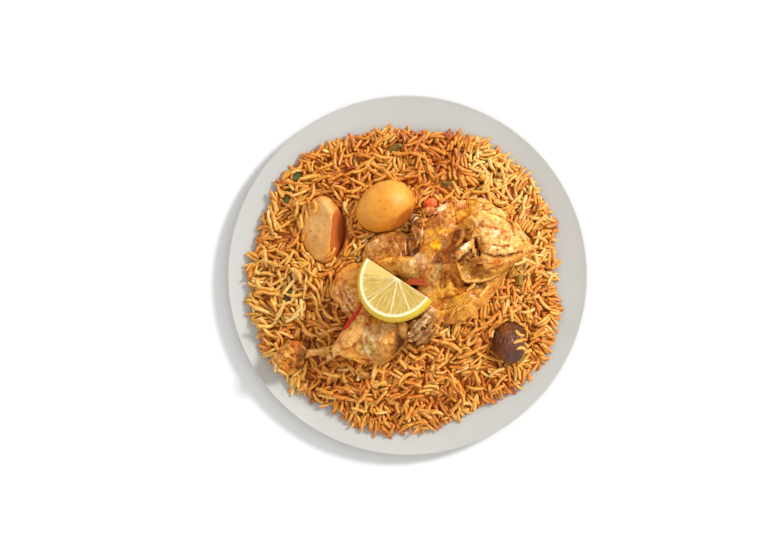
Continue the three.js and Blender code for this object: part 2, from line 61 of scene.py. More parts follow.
mm = 0.001
picture = {"middleX": 407.5, "middleY": 275.5, "mmPerPixel": 0.7735}  # the plate's middle, 280 mm over 362 pixels
above = 0.2  # rays that look for a surface start this high
down, up = Vector((0, 0, -1)), Vector((0, 0, 1))


# From a place in the picture to one on the plate, in metres
def onPlate(px, py):
    right, back = px - picture["middleX"], picture["middleY"] - py
    return (right * picture["mmPerPixel"] * mm, back * picture["mmPerPixel"] * mm)


# ---- small tools ----
def linearColour(hexText):
    values = [int(hexText[i : i + 2], 16) / 255 for i in (1, 3, 5)]
    return [v / 12.92 if v <= 0.04045 else ((v + 0.055) / 1.055) ** 2.4 for v in values] + [1.0]


# Gives a node its settings. One that is a node or a socket is linked, a node by its first output in use.
def setNode(material, node, settings):
    for key, value in settings.items():
        if isinstance(value, bpy.types.Node):
            value = next(socket for socket in value.outputs if socket.enabled)
        if isinstance(value, bpy.types.NodeSocket):
            material.node_tree.links.new(value, node.inputs[key])
        elif key == "stops":
            ramp = node.color_ramp
            while len(ramp.elements) < len(value):
                ramp.elements.new(0.5)
            for element, (place, colour) in zip(ramp.elements, value):
                element.position = place
                element.color = linearColour(colour)
        elif isinstance(key, int) or key in node.inputs:
            node.inputs[key].default_value = value
        else:
            setattr(node, key, value)


def addNode(material, kind, settings):
    node = material.node_tree.nodes.new("ShaderNode" + kind)
    setNode(material, node, settings)
    return node


# A material, its shader, and the place on the piece that its patterns read
def newMaterial(name, settings):
    material = bpy.data.materials.new(name)
    material.use_nodes = True
    shader = material.node_tree.nodes["Principled BSDF"]
    setNode(material, shader, settings)
    return material, shader, addNode(material, "TexCoord", {}).outputs["Object"]


def makeActive(piece):
    bpy.ops.object.select_all(action="DESELECT")
    piece.select_set(True)
    bpy.context.view_layer.objects.active = piece


def useModifier(piece, kind, settings):
    makeActive(piece)
    modifier = piece.modifiers.new(kind.title(), kind)
    for key, value in settings.items():
        setattr(modifier, key, value)
    bpy.ops.object.modifier_apply(modifier=modifier.name)


def newPiece(name, points, faces, edges=()):
    mesh = bpy.data.meshes.new(name)
    mesh.from_pydata(points, edges, faces)
    if faces:
        mesh.polygons.foreach_set("use_smooth", np.ones(len(faces), dtype=bool))
    piece = bpy.data.objects.new(name, mesh)
    bpy.context.scene.collection.objects.link(piece)
    return piece


# Turns a piece into one closed skin of small even faces
def evenSkin(piece, voxel):
    useModifier(piece, "REMESH", {"mode": "VOXEL", "voxel_size": voxel * mm, "use_smooth_shade": True})


def smooth(piece, rounds):
    useModifier(piece, "SMOOTH", {"factor": 0.5, "iterations": rounds})


# A copy of a solid as one even skin, with its corners softened
def softCopy(node, name, voxel, rounds):
    piece = bpy.data.objects.new(name, frame["nodes"][node].data.copy())
    bpy.context.scene.collection.objects.link(piece)
    piece.data.materials.clear()
    makeActive(piece)
    bpy.ops.object.mode_set(mode="EDIT")
    bpy.ops.mesh.select_all(action="SELECT")
    bpy.ops.mesh.remove_doubles(threshold=0.00001)
    bpy.ops.object.mode_set(mode="OBJECT")
    evenSkin(piece, voxel)
    smooth(piece, rounds)
    return piece


# Makes a piece cloudy in shape: size and height of the unevenness in millimetres, coarse ones first
def unevenBy(piece, size, height):
    texture = bpy.data.textures.new(piece.name + "Clouds", "CLOUDS")
    texture.noise_scale = size * mm
    settings = {"texture": texture, "strength": height * mm, "mid_level": 0.5, "texture_coords": "LOCAL"}
    useModifier(piece, "DISPLACE", settings)


def readVertices(piece, what):
    values = np.empty(len(piece.data.vertices) * 3, dtype=np.float32)
    piece.data.vertices.foreach_get(what, values)
    return values.reshape(-1, 3)


def movePoints(piece, points):
    piece.data.vertices.foreach_set("co", points.astype(np.float32).ravel())
    piece.data.update()


def writeValues(mesh, values):
    for name, numbers in values.items():
        layer = mesh.attributes.new(name, "FLOAT", "POINT")
        layer.data.foreach_set("value", numbers.astype(np.float32))


def smoothStep(values):
    values = np.clip(values, 0, 1)
    return values * values * (3 - 2 * values)


# Distance of points from a place of the picture, in radii that are given in pixels
def awayFrom(points, px, py, radius):
    x, y = onPlate(px, py)
    return np.hypot(points[:, 0] - x, points[:, 1] - y) / (radius * picture["mmPerPixel"] * mm)


# Distance of points to a line through places of the picture, how far along it they are, 0 to 1,
# and on which side: 1 is left of the way the line runs
def toLine(points, places):
    line = np.array([onPlate(*place) for place in places])
    lengths = np.linalg.norm(np.diff(line, axis=0), axis=1)
    before = np.concatenate([[0], np.cumsum(lengths)])
    best = np.full(len(points), 1e9)
    along = np.zeros(len(points))
    side = np.ones(len(points))
    for i in range(len(lengths)):
        step = line[i + 1] - line[i]
        offset = points[:, :2] - line[i]
        share = np.clip((offset @ step) / lengths[i] ** 2, 0, 1)
        away = np.linalg.norm(offset - share[:, None] * step, axis=1)
        closer = away < best
        best[closer] = away[closer]
        along[closer] = (before[i] + share[closer] * lengths[i]) / before[-1]
        side[closer] = np.sign(step[0] * offset[closer, 1] - step[1] * offset[closer, 0])
    return best, along, side


# Raises rolls and presses creases into what shows from above. Each is a line of picture places,
# its width and its height in millimetres, below zero for a crease. A lap is skin that overlaps its
# neighbour: raised left of the line, or right of it below zero, and dropping off sharply at the line.
def carve(piece, strokes, laps=()):
    points = readVertices(piece, "co")
    normals = readVertices(piece, "normal")
    facing = np.clip(normals[:, 2] * 2 + 0.4, 0, 1)
    for places, width, height in strokes:
        away, along, _ = toLine(points, places)
        rise = smoothStep(1 - away / (width * mm / 2)) * smoothStep(6 * np.minimum(along, 1 - along) + 0.35)
        points += normals * (rise * facing * height * mm)[:, None]
    for places, width, height in laps:
        away, along, side = toLine(points, places)
        signed = away * side * np.sign(height) / mm
        swell = smoothStep(signed / 0.9 + 0.5) * np.exp(-np.maximum(signed, 0) / width)
        rise = swell - 0.35 * smoothStep(1 - np.abs(signed + 0.6) / 1.8)
        rise *= smoothStep(4 * np.minimum(along, 1 - along) + 0.1) * (away < 4 * width * mm)
        points += normals * (rise * facing * abs(height) * mm)[:, None]
    movePoints(piece, points)


# Evens out round zones: place and radius in the picture, and how often
def soften(piece, zones, rounds):
    points = readVertices(piece, "co")
    weight = np.zeros(len(points))
    for zone in zones:
        weight = np.maximum(weight, smoothStep(2.6 - 2 * awayFrom(points, *zone)))
    group = piece.vertex_groups.new(name="soft")
    for i in np.nonzero(weight > 0.01)[0]:
        group.add([int(i)], float(weight[i]), "REPLACE")
    useModifier(piece, "SMOOTH", {"factor": 0.5, "iterations": rounds, "vertex_group": "soft"})
    piece.vertex_groups.clear()


# Makes round zones lumpy: place and radius in the picture, size and height of the lumps in millimetres
def roughen(piece, zones):
    points = readVertices(piece, "co")
    normals = readVertices(piece, "normal")
    for *zone, size, height in zones:
        away = awayFrom(points, *zone)
        near = np.nonzero((away < 1.4) & (normals[:, 2] > -0.3))[0]
        places = [Vector(points[i]) / (size * mm) for i in near]
        lumps = np.array([noise.noise(place) + 0.5 * noise.noise(place * 2.3) for place in places])
        points[near] += normals[near] * (lumps * smoothStep(2.8 - 2 * away[near]) * height * mm)[:, None]
    movePoints(piece, points)


# Paints what faces one way, here painted shade on sides turned from the light: heading and tilt in degrees, how close
# to it a face must be, colour and strength
def paintFacing(piece, name, facings):
    normals = readVertices(piece, "normal")
    colour = np.empty(len(normals) * 4, dtype=np.float32)
    layer = piece.data.attributes[name]
    layer.data.foreach_get("color", colour)
    colour = colour.reshape(-1, 4)
    for heading, tilt, close, value, strength in facings:
        heading, tilt = math.radians(heading), math.radians(tilt)
        way = (math.cos(heading) * math.sin(tilt), math.sin(heading) * math.sin(tilt), math.cos(tilt))
        weight = strength * smoothStep((normals @ np.array(way) - close) * 5 + 0.5)
        colour += (np.array(linearColour(value)) - colour) * weight[:, None]
    layer.data.foreach_set("color", colour.ravel())


# Uneven values round zero at points: coarse ones, and a share of finer ones
def raggedAt(points, coarse, share, fine):
    return np.array([noise.noise(Vector(p) * coarse) + share * noise.noise(Vector(p) * fine) for p in points])


# Paints patches with a soft, ragged edge. Each is a place of the picture, or a line of places, then a radius
# in pixels, a value and a strength.
def paint(piece, name, base, patches):
    points = readVertices(piece, "co")
    ragged = raggedAt(points, 260, 0.5, 700)
    colour = np.tile(np.array(base, dtype=np.float32), (len(points), 1))
    for places, radius, value, strength in patches:
        if isinstance(places, tuple):
            away = np.hypot(*(points[:, :2] - onPlate(*places)).T)
        else:
            away = toLine(points, places)[0]
        away = away / (radius * picture["mmPerPixel"] * mm)
        weight = strength * smoothStep(1.5 - 1.1 * away + 0.45 * ragged)
        target = np.array(linearColour(value) if isinstance(value, str) else [value] * 4)
        colour += (target - colour) * weight[:, None]
    layer = piece.data.attributes.new(name, "FLOAT_COLOR", "POINT")
    layer.data.foreach_set("color", colour.astype(np.float32).ravel())


def treeOf(pieces):
    points, faces = [], []
    for piece in pieces:
        first = len(points)
        points += [v.co.copy() for v in piece.data.vertices]
        faces += [[first + i for i in face.vertices] for face in piece.data.polygons]
    return BVHTree.FromPolygons(points, faces)


# A smooth line through a few points, about one point a millimetre
def smoothLine(points):
    points = np.array([points[0], *points, points[-1]], dtype=float)
    line = []
    for i in range(1, len(points) - 2):
        before, here, there, after = points[i - 1 : i + 3]
        steps = max(2, int(np.linalg.norm(there - here) / mm))
        for t in np.arange(steps) / steps:
            bend = (2 * before - 5 * here + 4 * there - after) * t**2 + (3 * here - before - 3 * there + after) * t**3
            line.append(0.5 * (2 * here + (there - before) * t + bend))
    return np.array([*line, points[-1]])


# Ragged strands of meat and rolls of skin on a piece. Each is a line of picture places, a width and how far
# its middle lies above the surface; a place with a third number has that height itself.
def strandMesh(name, tree, strands, flat=1.0, ragged=0.35):
    points, faces = [], []
    sides = 8
    turns = np.arange(sides) * 2 * math.pi / sides
    for places, width, lift in strands:
        line = []
        for place in places:
            x, y = onPlate(place[0], place[1])
            hit = tree.ray_cast(Vector((x, y, above)), down)[0]
            height = place[2] * mm if len(place) > 2 else (hit.z if hit else 0.032) + lift * mm
            line.append((x, y, height))
        line = smoothLine(line)
        along = np.gradient(line, axis=0)
        along /= np.linalg.norm(along, axis=1)[:, None] + 1e-9
        across = np.cross(along, (0, 0, 1))
        across /= np.linalg.norm(across, axis=1)[:, None] + 1e-9
        upright = np.cross(across, along)
        first = len(points)
        for k, point in enumerate(line):
            share = (k + 0.4) / (len(line) - 0.2)
            thick = width * mm / 2 * max(0.3, (1 - abs(2 * share - 1) ** 3))
            thick *= 1 + ragged * noise.noise(Vector(point) * 500)
            ring = [math.cos(a) * across[k] + flat * math.sin(a) * upright[k] for a in turns]
            points += [tuple(point + thick * way) for way in ring]
            if k:
                for s in range(sides):
                    here, there = first + k * sides, first + (k - 1) * sides
                    faces.append([there + s, there + (s + 1) % sides, here + (s + 1) % sides, here + s])
        faces.append([first + s for s in range(sides)][::-1])
        faces.append([len(points) - sides + s for s in range(sides)])
    return newPiece(name, points, faces)


def addStrands(piece, strands):
    rolls = strandMesh("rolls", treeOf([piece]), strands)
    makeActive(piece)
    rolls.select_set(True)
    bpy.ops.object.join()


# How hollow (above 0) or proud (below 0) each place is, so that the colour can be darkened in the hollows as painted
# shade and made paler on proud places as painted light
def markHollows(piece, rounds, depth):
    points = readVertices(piece, "co").astype(float)
    normals = readVertices(piece, "normal")
    edges = np.empty(len(piece.data.edges) * 2, dtype=np.int32)
    piece.data.edges.foreach_get("vertices", edges)
    a, b = edges[0::2], edges[1::2]
    degree = np.bincount(edges, minlength=len(points))[:, None]
    even = points.copy()
    for _ in range(rounds):
        sums = [np.bincount(a, even[b, k], len(points)) + np.bincount(b, even[a, k], len(points)) for k in range(3)]
        even = 0.5 * even + 0.5 * np.stack(sums, axis=1) / degree
    hollow = ((even - points) * normals).sum(axis=1) / (depth * mm)
    writeValues(piece.data, {"hollow": np.clip(hollow, -1, 1)})


# Closes narrow gaps between a piece's lumps, as skin does that is stretched over them
def closeGaps(piece, width, voxel):
    for grow in (width / 2, -width / 2):
        useModifier(piece, "DISPLACE", {"strength": grow * mm, "mid_level": 0})
        evenSkin(piece, voxel)


# Where a knife took a flat slice off: everything past a plane comes back to it
def trim(piece, px, py, heading, tilt, give):
    top = treeOf([piece]).ray_cast(Vector((*onPlate(px, py), above)), down)[0]
    heading, tilt = math.radians(heading), math.radians(tilt)
    normal = np.array([math.cos(heading) * math.sin(tilt), math.sin(heading) * math.sin(tilt), math.cos(tilt)])
    points = readVertices(piece, "co").astype(float)
    past = (points - np.array(top)) @ normal
    movePoints(piece, points - np.maximum(past, 0)[:, None] * normal * give)


def finishPiece(piece, material, slot, *nodes):
    piece.data.materials.clear()
    piece.data.materials.append(material)
    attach(piece, "root")
    if nodes:
        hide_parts(*nodes)


# ---- camera, light and table ----
camera = {"height": 2500, "standsAt": 22, "sensor": 36}
light = {"azimuth": 33, "elevation": 37, "sun": 2.6, "sunAngle": 13, "sky": 0.86}
middle = onPlate(384, 271)
seenWidth = 768 * picture["mmPerPixel"]
bpy.ops.object.camera_add(location=(*middle, (camera["height"] + camera["standsAt"]) * mm), rotation=(0, 0, 0))
bpy.context.scene.camera = bpy.context.object
bpy.context.object.data.sensor_width = camera["sensor"]
bpy.context.object.data.lens = camera["sensor"] * camera["height"] / seenWidth
bpy.context.object.data.clip_end = 20

azimuth, elevation = math.radians(light["azimuth"]), math.radians(light["elevation"])
flat = math.cos(elevation)
towards = Vector((-flat * math.cos(azimuth), -flat * math.sin(azimuth), -math.sin(elevation)))
bpy.ops.object.light_add(type="SUN", location=(0.6, 0.4, 0.8))
sun = bpy.context.object
sun.rotation_euler = towards.to_track_quat("-Z", "Y").to_euler()
sun.data.energy = light["sun"]
sun.data.angle = math.radians(light["sunAngle"])
world = bpy.data.worlds.new("StudioWalls")
world.use_nodes = True
setNode(world, world.node_tree.nodes["Background"], {"Color": (1, 0.985, 0.965, 1), "Strength": light["sky"]})
bpy.context.scene.world = world
bpy.context.scene.view_settings.view_transform = "Standard"

# White matt card, as under a pack shot: even and almost white
cardFinish = {"Base Color": linearColour("#EDEDED"), "Roughness": 0.9, "Specular IOR Level": 0.1}
card, *_ = newMaterial("WhiteCard", cardFinish)
bpy.ops.mesh.primitive_plane_add(size=6, location=(0, 0, 0))
floor = bpy.context.object
floor.name = "floor"
floor.data.materials.append(card)
print("camera, light and table are set")

# ---- plate ----
plate = {
    "radius": 140,
    "footRadius": 78,
    "footWidth": 7,
    "thickness": 4.2,
    "thinning": 1.1,
    "lip": 1.6,
    "wellHeight": 5.5,
    "wellRadius": 66,
    "rimRise": 7,
    "steps": 128,
}


def plateTop(radius):
    share = np.clip((radius - plate["wellRadius"]) / (plate["radius"] - plate["wellRadius"]), 0, 1)
    return plate["wellHeight"] + plate["rimRise"] * share * share


def makePlate():
    lipStart = plate["radius"] - plate["lip"]
    footInner, footOuter = plate["footRadius"] - plate["footWidth"], plate["footRadius"]
    under = plate["wellHeight"] - plate["thickness"]
    profile = [(0.0, under), (footInner - 1, under), (footInner, under - 0.3), (footInner + 1, 0.2)]
    profile += [(footInner + 1.6, 0), (footOuter - 1.6, 0), (footOuter - 1, 0.2)]
    profile.append((footOuter, plateTop(footOuter) - plate["thickness"]))
    for i in range(1, 13):
        radius = footOuter + (lipStart - footOuter) * i / 12
        profile.append((radius, plateTop(radius) - plate["thickness"] + plate["thinning"] * i / 12))
    rimTop = plateTop(plate["radius"])
    wall = (plate["thickness"] - plate["thinning"]) / 2
    for i in range(1, 8):
        turn = math.pi * (i / 8) - math.pi / 2
        profile.append((lipStart + plate["lip"] * math.cos(turn), rimTop - wall + wall * math.sin(turn)))
    for i in range(0, 17):
        radius = lipStart + (plate["wellRadius"] - 4 - lipStart) * i / 16
        profile.append((radius, float(plateTop(radius))))
    profile.append((0.0, plate["wellHeight"]))
    edges = [(i, i + 1) for i in range(len(profile) - 1)]
    piece = newPiece("plateGlazed", [(r * mm, 0, z * mm) for r, z in profile], [], edges)
    makeActive(piece)
    bpy.ops.object.mode_set(mode="EDIT")
    bpy.ops.mesh.select_all(action="SELECT")
    bpy.ops.mesh.spin(steps=plate["steps"], angle=2 * math.pi, center=(0, 0, 0), axis=(0, 0, 1))
    bpy.ops.mesh.select_all(action="SELECT")
    bpy.ops.mesh.remove_doubles(threshold=0.00001)
    bpy.ops.mesh.normals_make_consistent(inside=False)
    bpy.ops.object.mode_set(mode="OBJECT")
    bpy.ops.object.shade_smooth_by_angle(angle=math.radians(40))
    return piece


# Stoneware with a satin off-white glaze: soft broad highlights, faint cloudiness, no sharp mirror
glazeFinish = {"Roughness": 0.42, "IOR": 1.5, "Coat Weight": 0.15, "Coat Roughness": 0.3}
glaze, glazeShader, glazePlace = newMaterial("SatinGlazedStoneware", glazeFinish)
glazeCloud = addNode(glaze, "TexNoise", {"Scale": 28, "Detail": 4, "Vector": glazePlace})
glazeTone = addNode(glaze, "ValToRGB", {"stops": [(0.3, "#B9B9B4"), (0.7, "#BEBEB9")], "Fac": glazeCloud})
glazePit = addNode(glaze, "TexNoise", {"Scale": 420, "Detail": 2, "Vector": glazePlace})
glazeBump = addNode(glaze, "Bump", {"Strength": 0.06, "Distance": 0.0003, "Height": glazePit})
setNode(glaze, glazeShader, {"Base Color": glazeTone, "Normal": glazeBump})
plateGlazed = makePlate()
finishPiece(plateGlazed, glaze, "glaze", "plate")
print("plate is turned")

# ---- half chicken ----
chicken = {
    "firstVoxel": 1.2,
    "voxel": 0.76,
    "gap": 3.6,  # narrower gaps are closed
    "rounds": {"start": 5, "closed": 4, "taut": 26, "rolled": 3, "blended": 18},
    "uneven": [(6, 0.9), (2.4, 0.7)],  # size and height in millimetres
    "hollow": (14, 0.7),  # rounds of evening out, and the depth that counts as fully hollow
    "baseColour": "#CC8A3C",
    # where skin is drawn smooth and taut: place and radius in the picture
    "taut": [
        (490, 238, 23), (505, 244, 14), (370, 340, 24), (388, 345, 14), (344, 284, 16), (438, 240, 14),
        (382, 248, 12), (398, 268, 12), (452, 298, 13),
    ],
    # rolls of skin and bridges over gaps: places in the picture, width and lift in millimetres
    "rolls": [
        ([(458, 218, 45), (458, 232, 47), (454, 246, 48), (448, 260, 50), (445, 272, 50)], 13, 0),
        ([(466, 229, 53), (469, 222.5, 54), (476, 218.5, 55.5), (486, 218, 56)], 12, 0),
        ([(459, 222, 46), (461, 231, 48), (460, 240, 48)], 10, 0), ([(462, 226, 47), (466, 236, 50)], 8, 0),
        ([(464, 213, 46), (459, 218, 46), (457, 224, 46)], 10, 0),
        ([(446, 276, 47), (448, 288, 45), (446, 300, 44), (440, 312, 43), (436, 322, 44)], 11, 0),
        ([(438, 288, 50), (438, 300, 49)], 9, 0), ([(378, 272, 49), (384, 278, 46)], 8, 0),
        # drumstick: the dome of its thick end, its lower lip and the sinews to the bare bone
        ([(383, 344), (388, 342)], 15, -5.4), ([(376, 326), (384, 322), (393, 321)], 8, -2.6),
        ([(346, 353, 37), (357, 356.6, 37), (369, 358.6, 37), (381, 357.8, 38), (391, 354.4, 38.5),
         (400, 348, 39)], 9, 0),
        ([(338, 353, 33), (331, 357, 31), (325, 361.5, 29.5), (318.4, 366, 28.5)], 2.8, 0),
        # ankle
        ([(299, 342, 27), (293, 349, 28), (286, 358, 27), (287, 370, 23)], 15, 0),
        ([(300, 346, 28), (301, 354, 28)], 9, 0), ([(292, 358, 26.5), (292, 368, 24)], 11, 0),
        ([(280, 350, 27), (277, 358, 26), (279, 366, 24)], 6, 0),
        # thigh: edges of skin beside the lemon
        ([(354, 259), (345, 263), (338, 270), (334, 280)], 3, -0.8),
        ([(341, 290), (349, 301), (355, 311)], 2.6, -0.6),
        # flap of skin beside the dark hole, and the meat above it
        ([(410, 231), (416, 230), (421, 233), (421, 239)], 4.4, 0), ([(418, 226), (423, 222), (429, 219)], 4, -0.3),
        ([(420, 214, 47), (428, 211, 48), (436, 212, 48), (444, 208, 47), (452, 203, 44)], 6, 0),
        # the ridge over the bone
        ([(378, 264), (392, 262.5), (406, 264), (418, 267)], 9, -3.2),
        # the back
        ([(442, 222), (440, 234), (437, 246), (434, 258)], 6, -2.2),
        # skin above the wing, and its corner that stands up
        ([(450, 207), (461, 204), (473, 203.5), (484, 206)], 5, -1.2),
        ([(486, 206.5), (496, 209), (504, 213.5), (510, 219)], 2.6, 0),
        ([(484, 212), (493, 214.5), (501, 220)], 2.2, -0.1), ([(504, 214), (508.5, 210), (512.5, 205)], 3.2, 0.4),
        # wing: swollen shoulder, the lower roll and the tip
        ([(484, 230), (494, 233), (502, 238)], 9, -3.4), ([(484, 251), (498, 252), (511, 250), (522, 250)], 6, -2.0),
        ([(484, 263), (496, 262), (507, 259), (517, 256)], 5, -1.6),
        ([(522, 245), (529, 249), (534, 252.5)], 3.6, -0.2),
        # the knuckle of bare bone
        ([(468.5, 244), (464, 247.5), (459, 252.5), (454, 257)], 8, -1.8),
        ([(455, 254.5), (452.5, 257.5), (451.5, 260.5)], 5, -0.8), ([(450, 256), (453, 260), (458, 261)], 3, -0.3),
        # rim of skin round the wing's open end
        ([(456, 263), (458.5, 271.5), (463, 279), (471, 281), (481, 280.5), (492, 276.5), (503, 270),
         (512, 264)], 3.4, -0.1),
    ],
    # where rolls and bridges blend into the rest: place and radius in the picture
    "blended": [
        (458, 232, 8), (456, 244, 6), (447, 262, 7), (445, 285, 7), (386, 342, 18), (360, 359, 12),
        (382, 358, 12), (290, 354, 17),
    ],
    # creases, in millimetres
    "strokes": [
        ([(407, 241), (407.3, 249), (407.5, 256)], 2.2, -1.4), ([(413.5, 254.5), (416.5, 249)], 5, -3.6),
        ([(406, 286), (416, 286.5)], 6.5, -6.0), ([(458, 230), (455, 240), (450, 248), (444, 257)], 7, -1.5),
        ([(440, 271), (441, 280), (441, 289)], 6, -0.9),
        ([(478, 229), (486, 227.5), (493, 229), (499, 232)], 4.6, -0.7),
        ([(466, 241), (459.5, 245.5), (452.5, 252)], 2.4, -1.6), ([(470, 250), (464, 255.5), (458, 261.5)], 3, -2.6),
        ([(489, 245), (499, 247), (508, 245.5)], 2.8, -1.1), ([(506, 221.5), (510.5, 227), (512.5, 235)], 2.6, -0.9),
        ([(478, 265), (488, 264), (498, 262), (508, 259)], 2.6, -0.7),
        ([(484, 253.5), (492, 257), (503, 256.4), (515, 253.5), (524, 252)], 3.4, -1.3),
        ([(474.2, 239), (475.4, 246), (477.5, 255)], 3, -2.8), ([(476, 250), (478, 257)], 4.4, -1.8),
        ([(469.5, 250), (472, 255.5)], 2.6, -2.0), ([(474, 264.5), (481, 267)], 3.2, -1.8),
        ([(486, 270), (492, 268)], 3, -1.0), ([(451, 258), (455, 258.4)], 2.4, -1.6),
        ([(462, 285), (478, 285.5), (492, 281.5)], 3.6, -1.8), ([(397, 333), (399.5, 342), (398, 351)], 8, -0.4),
        ([(293, 345), (296, 351), (296.5, 359), (294, 366)], 3.4, -0.6),
        ([(331, 346.5), (330.6, 351), (332, 355.5)], 2.4, -1.0), ([(281, 358), (286, 361), (291, 366)], 3, -0.8),
        ([(275, 347), (280, 342), (287, 338)], 10, -3.4), ([(301, 353), (299.5, 361), (297, 369)], 6, -1.8),
        ([(304, 346), (305, 351), (304, 357)], 2.6, -1.2), ([(346, 303), (352, 312), (356, 320)], 2.6, -0.9),
        ([(334, 290), (338, 302), (345, 313)], 1.8, -0.7), ([(338, 286), (343, 299), (350, 311)], 1.8, -0.7),
        ([(343, 287), (348, 297), (354, 306)], 1.8, -0.7), ([(348, 288), (352, 296), (357, 303)], 1.6, -0.6),
        ([(374, 242), (379, 247), (386, 250)], 2, -0.5), ([(386, 237), (391, 244), (394, 254)], 2, -0.8),
    ],
    # skin that overlaps its neighbour: places in the picture, how far it swells back and how high, in millimetres
    "laps": [
        ([(326, 352), (338, 349.5), (350, 346.5), (358, 340), (363.2, 331.5), (366.5, 323.5), (371, 315),
         (376, 306)], 3.6, 0.75),
        ([(461, 226), (466, 219), (472, 214.8), (480, 211.8), (487, 213), (496, 217.5), (505, 221),
         (510, 226)], 7, -1.6),
        ([(474.4, 239), (478.5, 246.5), (483.5, 252.5), (492, 257)], 4, 0.9),
        ([(455, 262.5), (457.5, 270), (460.6, 279), (465, 282), (480, 282), (496, 276), (509, 267)], 4, 1.3),
        ([(374, 263), (384, 259.5), (395, 257.6), (405, 257.4), (413, 257.7), (419, 252), (424, 241)], 5, -1.5),
        ([(391.7, 237), (396, 245), (400.5, 258)], 4, -1.3), ([(286, 346), (293, 352), (294, 362)], 4, 0.6),
        ([(406.5, 239), (407.2, 248), (407.5, 256)], 3, -1.0), ([(452.5, 202), (454.5, 213), (457.5, 226)], 5, 0.45),
        ([(437, 301), (448, 298.5), (460, 294.5), (470, 289)], 4, -1.0),
        ([(436, 311), (447, 309.5), (458, 305)], 4, -1.0), ([(434, 262), (428, 270), (424, 280)], 5, -0.7),
        ([(330, 297), (338, 303), (346, 313)], 4, 0.8),
    ],
    # lumpy places: place and radius in the picture, size and height of the lumps in millimetres
    "lumpy": [
        (289, 355, 19, 4.2, 1.5), (422, 326, 18, 4.4, 0.6), (468, 260, 13, 2.4, 0.9), (416, 221, 9, 2.2, 1.3),
        (418, 234, 9, 3.0, 0.8), (440, 212, 12, 2.6, 0.9), (344, 306, 13, 2.6, 0.6), (382, 245, 12, 2.8, 0.6),
        (442, 240, 22, 3.2, 0.5), (438, 276, 14, 3.0, 0.9), (495, 240, 26, 2.6, 0.45), (510, 248, 18, 2.4, 0.7),
        (320, 352, 12, 2.4, 0.5),
    ],
    # patches of colour, among them painted shade in creases, slots and holes, painted shadows and painted highlights:
    # a place or a line in the picture, radius in pixels, colour and strength
    "patches": [
        # the dark line at the thigh's skin edge is painted shade in its crease
        ((347, 270), 17, "#E2A04C", 0.8), ([(350, 258), (342, 263), (336, 272), (333, 284)], 3, "#A8642A", 0.7),
        ((338, 290), 13, "#D09450", 0.6), ((346, 300), 12, "#D49A60", 0.8), ((345, 314), 10, "#C88848", 0.6),
        ([(337, 289), (341, 300), (348, 311)], 1.4, "#E8B884", 0.7),
        ([(342, 287), (346, 297), (352, 307)], 1.3, "#E4B07C", 0.7),
        # (340, 268) is orange skin made brighter partly by a painted highlight
        ([(347, 288), (351, 296), (356, 303)], 1.2, "#E2AC74", 0.6), ((340, 268), 9, "#F2A644", 0.7),
        ((335, 281), 5, "#EC9A3C", 0.6), ([(352, 268), (342, 280), (338, 292)], 3, "#D88A3A", 0.5),
        ((385, 244), 16, "#A66A30", 0.85), ((380, 243), 8, "#CB9458", 0.7), ((375, 241), 3.5, "#E2B888", 0.7),
        ((370, 246), 3, "#D8A874", 0.6), ((371, 250), 6, "#C88A4A", 0.5),
        # painted shade between the folds of the upper thigh
        ([(394, 238), (400, 248), (404, 256)], 3.6, "#9A5220", 0.85),
        ([(403, 240), (404.5, 248), (405, 256)], 2.2, "#B06A34", 0.7),
        # the dark line at x 407 is painted shade in its crease
        ([(407, 240), (407.3, 248), (407.5, 256)], 1.5, "#4A2410", 0.9), ((411, 248), 4, "#A2602E", 0.7),
        # painted shade in the hole beside the flap
        ([(411, 256), (415.5, 251), (418, 246)], 3, "#40200C", 0.95),
        # the dark line under the whole potato's edge is its painted shadow
        ([(398, 234), (408, 235), (416, 240)], 3, "#6E3416", 0.7), ((372, 256), 8, "#C48842", 0.6),
        ((398, 267), 20, "#B07A34", 0.85), ([(384, 272), (396, 273), (408, 276)], 4, "#96622A", 0.6),
        ((385, 263), 8, "#CC8A34", 0.7), ((387, 271), 8, "#A4702C", 0.6), ((420, 265), 12, "#B68C54", 0.85),
        ((411, 272), 8, "#BE924E", 0.7), ([(378, 261), (392, 258.5), (408, 258.5)], 1.8, "#E09C40", 0.7),
        ((434, 245), 15, "#B4701E", 0.85), ((428, 232), 9, "#BC8038", 0.7),
        # the dark band at (446, 238) is the wing's painted shadow on the back
        ([(446, 238), (441, 252), (436, 262)], 5, "#7C4A1A", 0.7), ((435, 245), 5, "#F6AE18", 0.95),
        ((430, 232.5), 3, "#EFA01C", 0.85), ((440, 229), 5, "#E8A028", 0.8), ((447, 233), 5, "#D99A26", 0.8),
        ((441, 221), 10, "#A0632A", 0.8), ((434, 222), 6, "#A8602A", 0.6), ((447, 214), 8, "#D69848", 0.7),
        ((426, 239), 6, "#D08A3C", 0.7), ((417, 262), 8, "#DEB482", 0.75), ((416, 221), 6, "#96663A", 0.9),
        # the band at (455, 236) is the wing's painted shadow on the back; the line at (459.5, 231) and (438, 260)
        # below are painted shade in the groove
        ((419, 234), 7, "#C98C48", 0.8), ([(455, 236), (450, 245), (445, 254)], 6, "#8C4A1A", 0.8),
        ([(459.5, 231), (457, 239)], 2.4, "#7A4A1E", 0.6), ((438, 260), 5, "#7E461A", 0.7),
        ((438, 268), 6, "#967C4E", 0.8), ((433, 276), 6, "#A8844E", 0.7),
        # painted shade in the crease below the back
        ([(441.5, 273), (442, 280), (441, 287)], 4, "#7E5420", 0.8), ((450, 272), 7, "#A26A24", 0.8),
        # (412, 286.5) is painted shade in the hole under the red strip
        ((428, 287), 9, "#AE8048", 0.7), ((412, 286.5), 6, "#5E2A10", 0.9), ((423, 297), 7, "#BC8440", 0.6),
        # (461, 205) is a painted highlight
